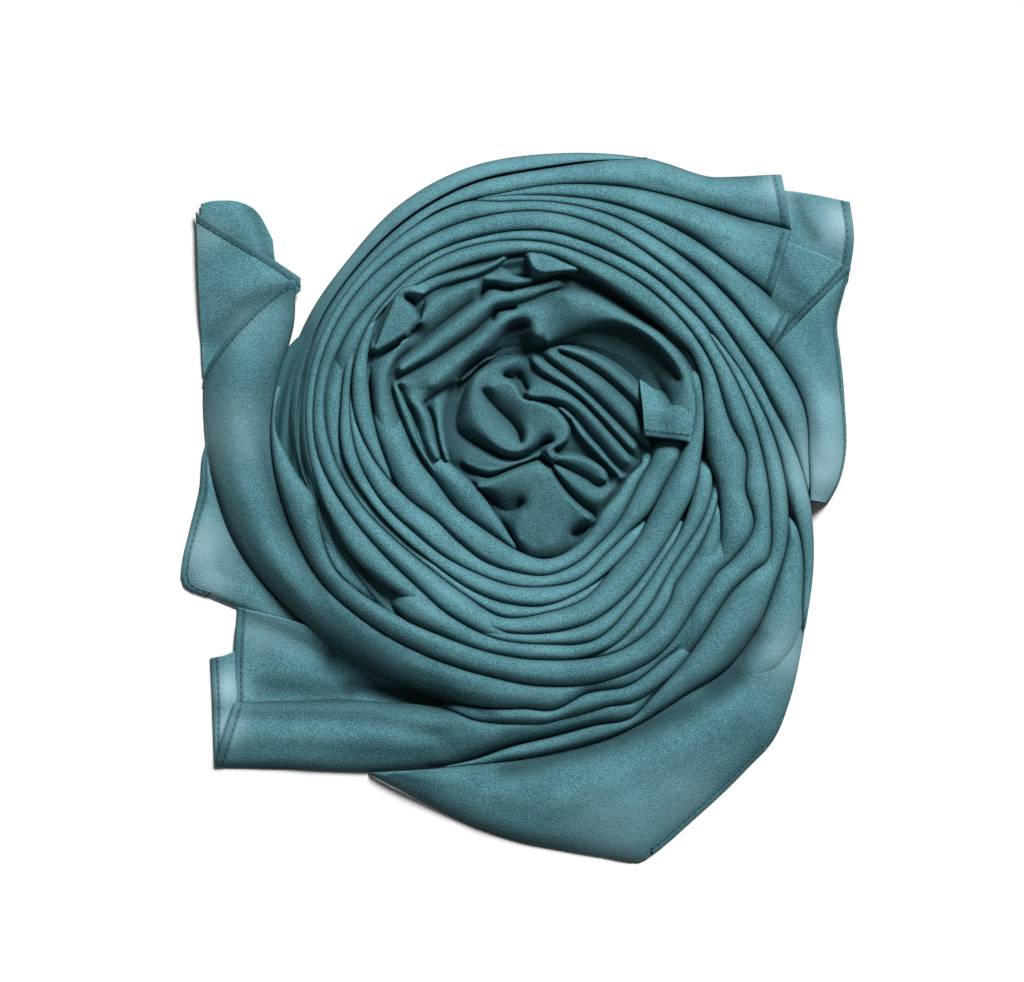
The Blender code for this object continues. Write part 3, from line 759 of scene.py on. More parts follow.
@dataclass(frozen=True)
class CrepeGrain:
    """The crinkled grain of crepe, as a shader node group."""

    pebble_scale: float = 1700.0
    crinkle_along: float = 950.0
    crinkle_across: float = 1500.0
    cloud_scale: float = 38.0

    def group(self) -> bpy.types.ShaderNodeTree:
        """The node group, which turns a place on the cloth into a tone and a height."""
        tree = bpy.data.node_groups.new("crepe_grain", "ShaderNodeTree")
        tree.interface.new_socket("Place", in_out="INPUT", socket_type="NodeSocketVector")
        tree.interface.new_socket("Tone", in_out="OUTPUT", socket_type="NodeSocketFloat")
        tree.interface.new_socket("Height", in_out="OUTPUT", socket_type="NodeSocketFloat")
        nodes, links = tree.nodes, tree.links
        into = nodes.new("NodeGroupInput")
        out = nodes.new("NodeGroupOutput")
        pebble = nodes.new("ShaderNodeTexNoise")
        pebble.inputs["Scale"].default_value = self.pebble_scale
        pebble.inputs["Detail"].default_value = 2.0
        links.new(into.outputs["Place"], pebble.inputs["Vector"])
        stretch = nodes.new("ShaderNodeMapping")
        stretch.inputs["Scale"].default_value = (self.crinkle_along, self.crinkle_across, self.crinkle_across)
        links.new(into.outputs["Place"], stretch.inputs["Vector"])
        crinkle = nodes.new("ShaderNodeTexNoise")
        crinkle.inputs["Scale"].default_value = 1.0
        crinkle.inputs["Detail"].default_value = 2.0
        links.new(stretch.outputs["Vector"], crinkle.inputs["Vector"])
        cloud = nodes.new("ShaderNodeTexNoise")
        cloud.inputs["Scale"].default_value = self.cloud_scale
        cloud.inputs["Detail"].default_value = 3.0
        links.new(into.outputs["Place"], cloud.inputs["Vector"])
        height = nodes.new("ShaderNodeMath")
        height.operation = "ADD"
        links.new(pebble.outputs["Fac"], height.inputs[0])
        links.new(crinkle.outputs["Fac"], height.inputs[1])
        half = nodes.new("ShaderNodeMath")
        half.operation = "MULTIPLY"
        half.inputs[1].default_value = 0.5
        links.new(height.outputs["Value"], half.inputs[0])
        links.new(half.outputs["Value"], out.inputs["Height"])
        fine = nodes.new("ShaderNodeMath")
        fine.operation = "MULTIPLY"
        fine.inputs[1].default_value = 1.6
        links.new(half.outputs["Value"], fine.inputs[0])
        broad = nodes.new("ShaderNodeMath")
        broad.operation = "MULTIPLY"
        broad.inputs[1].default_value = 0.4
        links.new(cloud.outputs["Fac"], broad.inputs[0])
        mix = nodes.new("ShaderNodeMath")
        mix.operation = "ADD"
        links.new(fine.outputs["Value"], mix.inputs[0])
        links.new(broad.outputs["Value"], mix.inputs[1])
        spread = nodes.new("ShaderNodeMapRange")
        spread.inputs["From Min"].default_value = 0.82
        spread.inputs["From Max"].default_value = 1.18
        links.new(mix.outputs["Value"], spread.inputs["Value"])
        links.new(spread.outputs["Result"], out.inputs["Tone"])
        return tree


@dataclass(frozen=True)
class Seams:
    """The finishes of the hems and their stitches."""

    turned: bpy.types.Material
    thread: bpy.types.Material


@dataclass(frozen=True)
class Hem:
    """A narrow turned hem along part of a sheet's side, with its row of stitches."""

    sheet: str
    side: Edge
    first: float = 0.0
    last: float = 1.0
    width: float = 4.4
    stitch_pitch: float = 3.4
    stitch_length: float = 2.1
    stitch_inset: float = 3.2

    # Columns: share of the hem's width from its edge, height over the cloth in mm.
    PROFILE = ((-0.1, -0.5), (-0.04, 0.15), (0.08, 0.62), (0.3, 0.66), (0.55, 0.5), (0.72, 0.22), (0.85, 0.5),
               (0.96, 0.42), (1.03, -0.1))

    def stations(self, grid: ClothGrid) -> list[list[Vector]]:
        """Inward lines of the stretch of the side that is hemmed, evenly spaced."""
        lines = grid.inward(self.side)
        edge = [line[0] for line in lines]
        reach = [0.0]
        for a, b in zip(edge, edge[1:]):
            reach.append(reach[-1] + (b - a).length)
        low, high = self.first * reach[-1], self.last * reach[-1]
        count = max(8, round((high - low) / 1.2))
        found = []
        for k in range(count + 1):
            place = between(low, high, k / count)
            i = min(next((n for n, r in enumerate(reach) if r >= place), len(reach) - 1), len(reach) - 1)
            i = max(i, 1)
            share = (place - reach[i - 1]) / max(reach[i] - reach[i - 1], 1e-6)
            found.append([p.lerp(q, min(1.0, share)) for p, q in zip(lines[i - 1], lines[i])])
        return found

    def inside(self, line: Sequence[Vector], distance: float) -> Vector:
        """Point at a distance in mm from the edge along an inward line, past the edge if it is negative."""
        if distance <= 0:
            way = (line[3] - line[0]).normalized()
            return line[0] + way * distance
        left = distance
        for a, b in zip(line, line[1:]):
            step = (b - a).length
            if step >= left and step > 0:
                return a.lerp(b, left / step)
            left -= step
        return line[-1].copy()

    def grid(self, sheet: ClothGrid) -> ClothGrid:
        """The hem's upper face on its sheet."""
        rows = []
        for line in self.stations(sheet):
            row = []
            for share, height in self.PROFILE:
                point = self.inside(line, share * self.width)
                point.z = max(point.z + height, FLOOR + 0.3)
                row.append(point)
            rows.append(row)
        # Painted shade across the hem, darker in the dips of its profile.
        shades = [[0.5, 0.25, 0.1, 0.1, 0.2, 0.75, 0.25, 0.35, 0.8] for _ in rows]
        return ClothGrid(rows, shades)

    def stitches(self, sheet: ClothGrid) -> bpy.types.Mesh:
        """The row of stitches, each a small bead drawn out along the hem."""
        lines = self.stations(sheet)
        path = [self.inside(line, self.stitch_inset) + Vector((0, 0, 0.42)) for line in lines]
        thread = bmesh.new()
        travelled, due = 0.0, self.stitch_pitch / 2
        for a, b in zip(path, path[1:]):
            step = (b - a).length
            while step > 0 and travelled + step >= due:
                middle = (a.lerp(b, (due - travelled) / step) + Vector((CENTRE_X, CENTRE_Y, 0.0))) * MM
                way = (b - a).normalized()
                turn = way.to_track_quat("X", "Z").to_matrix().to_4x4()
                turn.translation = middle
                bead = bmesh.ops.create_uvsphere(thread, u_segments=6, v_segments=4, radius=MM)
                bmesh.ops.scale(thread, vec=(self.stitch_length / 2, 0.32, 0.26), verts=bead["verts"])
                bmesh.ops.transform(thread, matrix=turn, verts=bead["verts"])
                due += self.stitch_pitch
            travelled += step
        layer = thread.loops.layers.uv.new("UVMap")
        for face in thread.faces:
            face.smooth = True
            for loop in face.loops:
                loop[layer].uv = loop.vert.co.xy
        data = bpy.data.meshes.new("stitches")
        thread.to_mesh(data)
        thread.free()
        return data


@dataclass
class Hems:
    """The turned hems round the scarf where they show."""

    wall: float = 0.5
    hems: tuple[Hem, ...] = (
        Hem("upper_flap_1", Edge.START),
        Hem("upper_flap_2", Edge.START),
        Hem("upper_flap_3", Edge.START),
        Hem("upper_flap_4", Edge.END),
        Hem("back_corner", Edge.END),
        Hem("right_sheet", Edge.FIRST),
        Hem("bottom_sheet", Edge.FIRST, 0.475, 0.72),
        Hem("tail", Edge.START),
        Hem("left_drape", Edge.START),
        Hem("left_middle_layer", Edge.FIRST),
        Hem("under_sheet", Edge.FIRST, 0.0, 0.55),
        Hem("lower_left_sheet", Edge.START),
        Hem("lower_left_hem", Edge.FIRST),
    )

    def build(
        self, grids: dict[str, ClothGrid], turned: bpy.types.Material, thread: bpy.types.Material
    ) -> dict[str, list[bpy.types.Object]]:
        """Builds each hem and its stitches.

        Args:
            grids: The sheets' upper faces, by node.
            turned: Finish of the hems.
            thread: Finish of the stitches.

        Returns:
            The pieces, by the node of the sheet that they belong to.
        """
        made: dict[str, list[bpy.types.Object]] = {}
        for hem in self.hems:
            sheet = grids[hem.sheet]
            name = f"{hem.sheet}_hem"
            strip = put(name, hem.grid(sheet).mesh(name, self.wall), turned)
            row = put(f"{hem.sheet}_stitches", hem.stitches(sheet), thread)
            made.setdefault(hem.sheet, []).extend([strip, row])
        return made


@dataclass
class Coil:
    """The long folds of the swirl."""

    wall: float = 0.6
    folds: tuple[Fold, ...] = (
        Fold("rim_fold", "rim", "second", 71, 194, outer_z=FLOOR, taper_first=40, sink=5),
        Fold("right_fold", "fifth", "sixth", -9.5, 241, taper_last=14),
        Fold("shadow_fold", "strip_inner", "fifth", -172, -128, turns=1, outer_heights={-172: 17, -128: 19},
             inner_heights={-172: 17, -150: 16, -128: 18}, swell={-172: 0.5, -128: 0.4}),
        Fold("main_fold", "sixth", "seventh", -35, 264, taper_first=14, taper_last=34, sink=7),
        Fold("broad_fold", "broad_outer", "seventh", 226, 390, taper_first=22),
        Fold("broad_fold_edge", "sixth", "broad_outer", 240, 334, taper_first=20, taper_last=20),
        Fold("lower_right_wedge", "wedge_outer", "lower_lip", -58, -12, taper_first=46, taper_last=14, sink=11),
        Fold("lower_lip_fold", "lower_lip", "tail_outer", -108, 39, taper_first=14),
        Fold("lower_fold", "tail_inner", "drape_outer", -112, -51, taper_last=24),
        Fold("right_inner_fold", "tail_outer", "drape_inner", -60, 46, taper_first=34, taper_last=14, sink=9),
        Fold("upper_inner_fold", "seventh", "drape_inner", 32, 160, taper_first=16, taper_last=26, sink=8),
        Fold("left_fold_1", "seventh", "left_mid", 136, 300, lift={150: -3, 200: -3, 230: -1, 260: 0}, taper_last=30),
        Fold("left_fold_2", "left_mid", "left_inner", 139, 326, taper_first=14, taper_last=16),
        Fold("left_fold_3", "left_inner", "drape_inner", 158, 367, taper_first=20, taper_last=12, sink=8),
        Fold("hemmed_strip", "drape_inner", "strip_inner", -195, -25, taper_last=26, sink=6),
        Fold("hemmed_strip_end", "basin_outer", "strip_inner", -40, -14, taper_first=20),
        Fold("basin_rim_fold", "drape_inner", "basin_outer", -39, 149, taper_first=24, taper_last=14),
        Fold("basin_fold_1", "strip_inner", "basin_step", -80, -8, taper_first=20, taper_last=18),
        Fold("basin_fold_2", "basin_step", "sixth", -137, -1, turns=1, taper_first=14, sink=8),
        Fold("hooked_tip_fold", "drape_inner", "hooked_edge", 140, 194, taper_last=16),
        Fold("shoulder_fold", "shoulder", "ledge", 160, 366, taper_first=26, taper_last=14, sink=9),
        Fold("ledge_fold", "ledge", "inner_ledge", 163, 255, swell={163: 1, 215: 1, 240: 1.2}, taper_first=20, taper_last=6, sink=8),
    )

    hems: Hems = field(default_factory=lambda: Hems(hems=(Hem("hemmed_strip", Edge.LAST, 0.03, 0.17),)))

    def build(self, cloth: bpy.types.Material, seams: Seams) -> list[bpy.types.Object]:
        """Builds each fold as a piece that stands for its solid, with its hem where one shows.

        Args:
            cloth: The cloth's finish.
            seams: The finishes of the hems and their stitches.

        Returns:
            The pieces.
        """
        grids = {fold.node: fold.grid() for fold in self.folds}
        edged = self.hems.build(grids, seams.turned, seams.thread)
        made = []
        for node, grid in grids.items():
            piece = put(f"{node}_cloth", grid.mesh(node, self.wall), cloth)
            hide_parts(node)
            grid.flat_size()
            made += [piece, *edged.get(node, [])]
        return made


@dataclass
class EdgeSheets:
    """The loose sheets round the coil."""

    wall: float = 0.6
    folds: tuple[Fold, ...] = (
        Fold("upper_flap_1", "second", "third", 0, 194, slant=((50, 42.5), (55, 50), (58, 55), (62, 60)),
             outer_heights={50: 1, 60: 0, 68: 0, 76: 6, 194: 12}, taper_first=0),
        Fold("upper_flap_2", "third", "fourth", 0, 107, slant=((42.5, 35), (50, 45), (55, 52), (60, 60)),
             taper_first=0),
        Fold("upper_flap_3", "fourth", "fifth", 0, 107,
             slant=((29.5, 25), (35, 30), (45, 40), (52, 50), (60, 60)), taper_first=0),
        Fold("right_sheet", "right_hem", "fifth", 0, -9.6,
             slant=((31, 25), (25, 20), (20, 15), (10, 8), (1, 0), (-5, -5), (-9.6, -9)), outer_z=FLOOR,
             taper_first=0, taper_last=0),
        Fold("bottom_sheet", "bottom_hem", "lower_lip", 0, -25,
             slant=((-119, -109), (-110, -106), (-101.5, -100), (-93.7, -92), (-87.8, -86), (-82, -81),
                    (-77, -76), (-75, -73), (-68.4, -67), (-62.8, -61), (-56.5, -55), (-51, -49), (-45, -43),
                    (-39, -38), (-35, -35), (-30, -31), (-25, -27)), outer_z=FLOOR, taper_first=0),
        Fold("under_sheet", "under_hem", "drape_outer", 0, -137,
             slant=((-183, -181), (-180, -178), (-174.2, -173), (-168, -168), (-163, -163.5), (-160, -161), (-157, -157.5),
                    (-153.4, -153.4), (-144.5, -145), (-137, -137)), outer_z=FLOOR, inner_heights={-183: 1, -160: 2, -137: 1},
             swell={-183: 0.2, -165: 0.5, -137: 0.2}, taper_first=0),
        Fold("tail", "tail_outer", "tail_inner", 0, -60,
             slant=((-136.6, -141.4), (-133, -137), (-128, -133), (-120, -126), (-110, -116), (-103, -107),
                    (-97, -98), (-90, -90), (-80, -80), (-70, -71)),
             outer_heights={-137: 0, -110: 1, -90: 6, -60: 14}, taper_first=0),
        Fold("left_drape", "drape_outer", "drape_inner", 0, -38,
             slant=((-192.7, -214.4), (-189, -208.4), (-186, -203.5), (-182, -198), (-178, -190), (-174, -180),
                    (-167, -170), (-160, -160)),
             outer_heights={-193: 0, -160: 0, -130: 4, -110: 12, -90: 16, -50: 19}, taper_first=0,
             taper_last=22, bulge_first=9),
    )

    def grids(self) -> dict[str, ClothGrid]:
        """The sheets' upper faces, by node."""
        return {fold.node: fold.grid() for fold in self.folds}


class Form(Enum):
    """Parts of a relief line's profile: the share of the way up from crease to crest."""

    CREASE = 0.0
    TROUGH = 0.4
    CREST = 1.0


@dataclass(frozen=True)
class ReliefLine:
    """A crest, soft trough or crease of gathered cloth, as (x, y) in mm from the swirl's centre."""

    form: Form
    height: float
    points: tuple[tuple[float, float], ...]
    end_height: Optional[float] = None

    def samples(self, spacing: float) -> list[tuple[float, float, float]]:
        """Closely spaced (x, y, height) along the line."""
        corners = [Vector((x, y, 0.0)) for x, y in self.points]
        length = sum((b - a).length for a, b in zip(corners, corners[1:]))
        count = max(4, round(length / (0.3 * spacing)))
        last = self.height if self.end_height is None else self.end_height
        return [
            (p.x, p.y, between(self.height, last, i / (count - 1)))
            for i, p in enumerate(smooth_line(corners, count))
        ]


@dataclass(frozen=True)
class Relief:
    """A patch of gathered cloth whose height follows its crest and crease lines."""

    node: str
    low: tuple[float, float]
    high: tuple[float, float]
    outline: tuple[tuple[float, float], ...]
    lines: tuple[ReliefLine, ...]
    spacing: float = 0.6
    crease: float = 11.0
    crest: float = 18.0
    levels: int = 4
    rounds: int = 260
    roundness: float = 0.62
    low_end: float = -1000.0
    # Painted shade laid over the whole patch, from 0 to 1, darker for a sunken patch.
    depth: float = 0.0
    stiffness: float = 40.0
    reach: float = 0.45

    def solve(self, columns: int, rows: int, marks: Sequence[tuple[float, float, float]], start: float) -> np.ndarray:
        """Smooth field that passes through marked values.

        Args:
            columns: Grid points along x.
            rows: Grid points along y.
            marks: Marked values as (x, y, value), in mm.
            start: Value where nothing is marked near.

        Returns:
            The field at the grid points, rows first.
        """
        field_now = None
        for level in range(self.levels - 1, -1, -1):
            step = self.spacing * 2**level
            n_x = (columns - 1) // 2**level + 1
            n_y = (rows - 1) // 2**level + 1
            weight = np.zeros((n_y, n_x))
            target = np.zeros((n_y, n_x))
            for x, y, value in marks:
                u, v = (x - self.low[0]) / step, (y - self.low[1]) / step
                for i in (int(u), int(u) + 1):
                    for j in (int(v), int(v) + 1):
                        if 0 <= i < n_x and 0 <= j < n_y:
                            pull = self.stiffness * math.exp(-((u - i) ** 2 + (v - j) ** 2) / self.reach**2)
                            if pull > weight[j, i]:
                                weight[j, i], target[j, i] = pull, value
            if field_now is None:
                field_now = np.full((n_y, n_x), start)
            else:
                grown = np.repeat(np.repeat(field_now, 2, axis=0), 2, axis=1)
                grown = np.pad(grown, ((0, 2), (0, 2)), mode="edge")
                field_now = grown[:n_y, :n_x]
            for _ in range(self.rounds):
                ring = np.pad(field_now, 1, mode="edge")
                mean = (ring[:-2, 1:-1] + ring[2:, 1:-1] + ring[1:-1, :-2] + ring[1:-1, 2:]) / 4
                field_now = (mean + weight * target) / (1 + weight)
        return field_now

    def heights(self) -> tuple[np.ndarray, np.ndarray]:
        """Height in mm and depth in the creases, from 0 to 1, at each grid point, rows first."""
        columns = round((self.high[0] - self.low[0]) / self.spacing) + 1
        rows = round((self.high[1] - self.low[1]) / self.spacing) + 1
        sampled = [(line, line.samples(self.spacing)) for line in self.lines]
        forms = [(x, y, line.form.value) for line, points in sampled for x, y, _ in points]
        low = [p for line, points in sampled if line.form is Form.CREASE for p in points]
        high = [p for line, points in sampled if line.form is Form.CREST for p in points]
        share = np.clip(self.solve(columns, rows, forms, 0.5), 0.0, 1.0)
        crease = self.solve(columns, rows, low, self.crease)
        crest = self.solve(columns, rows, high, self.crest)
        field_now = crease + (crest - crease) * np.sin(share * math.pi / 2) ** self.roundness
        ring = np.pad(field_now, 1, mode="edge")
        smooth = (4 * field_now + ring[:-2, 1:-1] + ring[2:, 1:-1] + ring[1:-1, :-2] + ring[1:-1, 2:]) / 8
        low_end = np.clip(self.low_end - np.linspace(self.low[1], self.high[1], rows), 0, None)[:, None]
        # The second array is painted shade: darker toward the creases, and never below the patch's depth share.
        return smooth - 0.03 * low_end**2, self.depth + (1 - self.depth) * (1 - share) ** 1.3

    def inside(self, x: float, y: float) -> bool:
        """Whether a point lies within the outline."""
        found = False
        for (x1, y1), (x2, y2) in zip(self.outline, self.outline[1:] + self.outline[:1]):
            if (y1 > y) != (y2 > y) and x < (x2 - x1) * (y - y1) / (y2 - y1) + x1:
                found = not found
        return found

    def mesh(self, thick: float) -> bpy.types.Mesh:
        """Thin closed shell of the patch, with a UV map in metres.

        Args:
            thick: Thickness of the shell in mm.

        Returns:
            The mesh.
        """
        heights, painted_shades = self.heights()
        rows, columns = heights.shape
        shell = bmesh.new()
        shade = shell.verts.layers.float.new("fold_shade")
        shell.verts.layers.float.new("sheer")
        bmesh.ops.create_grid(shell, x_segments=columns - 1, y_segments=rows - 1, size=1.0)
        corners = sorted(shell.verts, key=lambda v: (round(v.co.y, 6), round(v.co.x, 6)))
        for index, vertex in enumerate(corners):
            j, i = divmod(index, columns)
            x, y = self.low[0] + i * self.spacing, self.low[1] + j * self.spacing
            z = heights[j, i] + 0.25 * noise.noise(Vector((x * 0.12, y * 0.12, 3.3)))
            vertex.co = ((x + CENTRE_X) * MM, (y + CENTRE_Y) * MM, z * MM)
            vertex[shade] = painted_shades[j, i]
        out = [
            face for face in shell.faces
            if not self.inside(
                face.calc_center_median().x / MM - CENTRE_X, face.calc_center_median().y / MM - CENTRE_Y
            )
        ]
        bmesh.ops.delete(shell, geom=out, context="FACES")
        layer = shell.loops.layers.uv.new("UVMap")
        for face in shell.faces:
            face.smooth = True
            for loop in face.loops:
                loop[layer].uv = loop.vert.co.xy
        shell.normal_update()
        thicken(shell, thick * MM)
        data = bpy.data.meshes.new(self.node)
        shell.to_mesh(data)
        shell.free()
        return data

    def flat_size(self) -> tuple[float, float]:
        """Width and length in metres of a rectangle as large as the patch pulled flat."""
        heights, _ = self.heights()
        across, up = np.gradient(heights, self.spacing)
        stretch = np.sqrt(1 + across**2 + up**2)
        rows, columns = heights.shape
        area = sum(
            stretch[j, i]
            for j in range(0, rows, 4)
            for i in range(0, columns, 4)
            if self.inside(self.low[0] + i * self.spacing, self.low[1] + j * self.spacing)
        ) * 16 * self.spacing**2
        side = math.sqrt(area)
        return side * MM, side * MM


@dataclass
class HiddenCloth:
    """The folded layers that lie under everything that shows."""

    # Reaches out between the sheets in places, where its darker finish shows as painted shade in the crevices.
    edge: CurveTable = field(default_factory=lambda: {
        0: 124, 30: 118, 45: 116, 60: 132, 75: 142, 90: 140, 120: 136, 148: 130, 157: 139, 165: 141, 180: 137,
        195: 132, 210: 132, 240: 126,
        270: 126, 300: 128, 330: 124, 360: 124,
    })
    turns: int = 144
    rings: int = 90
    below: CurveTable = field(default_factory=lambda: {0: 10, 85: 9.5, 98: 3.2, 200: 2.4})
    pitch: float = 7.0
    swell: float = 1.2

    def build(self, material: bpy.types.Material) -> list[bpy.types.Object]:
        """Builds the hidden layers as one flat-bottomed heap of low folds.

        Args:
            material: The cloth's finish painted darker, as painted shade under the heap.

        Returns:
            The pieces.
        """
        heap = bmesh.new()
        bmesh.ops.create_grid(heap, x_segments=self.turns, y_segments=self.rings, size=1.0)
        layer = heap.loops.layers.uv.new("UVMap")
        for vertex in heap.verts:
            bearing = (vertex.co.x + 1) * 180
            share = (vertex.co.y + 1) / 2
            radius = 2.0 + share * (read_curve(self.edge, bearing) - 2.0)
            ripple = math.sin((radius + bearing / 360 * self.pitch) * math.tau / self.pitch)
            height = max(1.2, crease_height(radius) - read_curve(self.below, radius) + self.swell * ripple - 4 * share**12)
            angle = math.radians(bearing)
            vertex.co = (
                (radius * math.cos(angle) + CENTRE_X) * MM, (radius * math.sin(angle) + CENTRE_Y) * MM, height * MM
            )
        bmesh.ops.remove_doubles(heap, verts=heap.verts[:], dist=1e-6)
        rims = [edge for edge in heap.edges if edge.is_boundary]
        skirt = bmesh.ops.extrude_edge_only(heap, edges=rims)
        for item in skirt["geom"]:
            if isinstance(item, bmesh.types.BMVert):
                item.co.z = 0.0004
        bmesh.ops.holes_fill(heap, edges=[edge for edge in heap.edges if edge.is_boundary], sides=0)
        bmesh.ops.recalc_face_normals(heap, faces=heap.faces[:])
        for face in heap.faces:
            face.smooth = abs(face.normal.z) > 0.3
            for loop in face.loops:
                loop[layer].uv = loop.vert.co.xy
        data = bpy.data.meshes.new("hidden_layers")
        heap.to_mesh(data)
        heap.free()
        piece = put("hidden_layers_cloth", data, material)
        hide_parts("hidden_layers")
        return [piece]


@dataclass(frozen=True)
class Layer:
    """A loose single layer, as rows of (x, y, z) in mm from the swirl's centre, from its first edge to its last."""

    node: str
    rows: tuple[tuple[Point, ...], ...]
    crinkle: float = 0.4

    ROWS = 70
    COLUMNS = 40

    def grid(self) -> ClothGrid:
        """The layer's upper face."""
        seed = sum(ord(letter) for letter in self.node) * 0.29
        lines = [smooth_line([Vector(p) for p in row], self.COLUMNS) for row in self.rows]
        columns = [smooth_line(list(line), self.ROWS) for line in zip(*lines)]
        rows = [list(row) for row in zip(*columns)]
        shades = []
        for row in rows:
            painted_shades = []
            for point in row:
                lift = noise.noise(Vector((point.x * 0.05, point.y * 0.05, seed)))
                found = trough_depth(point.x, point.y)
                point.z = max(FLOOR + 0.9, point.z + self.crinkle * (1 + lift) - found)
                # Troughs sink the layer and darken its painted shade.
                painted_shades.append(max(0.0, min(1.0, 0.25 * found)))
            shades.append(painted_shades)
        return ClothGrid(rows, shades)


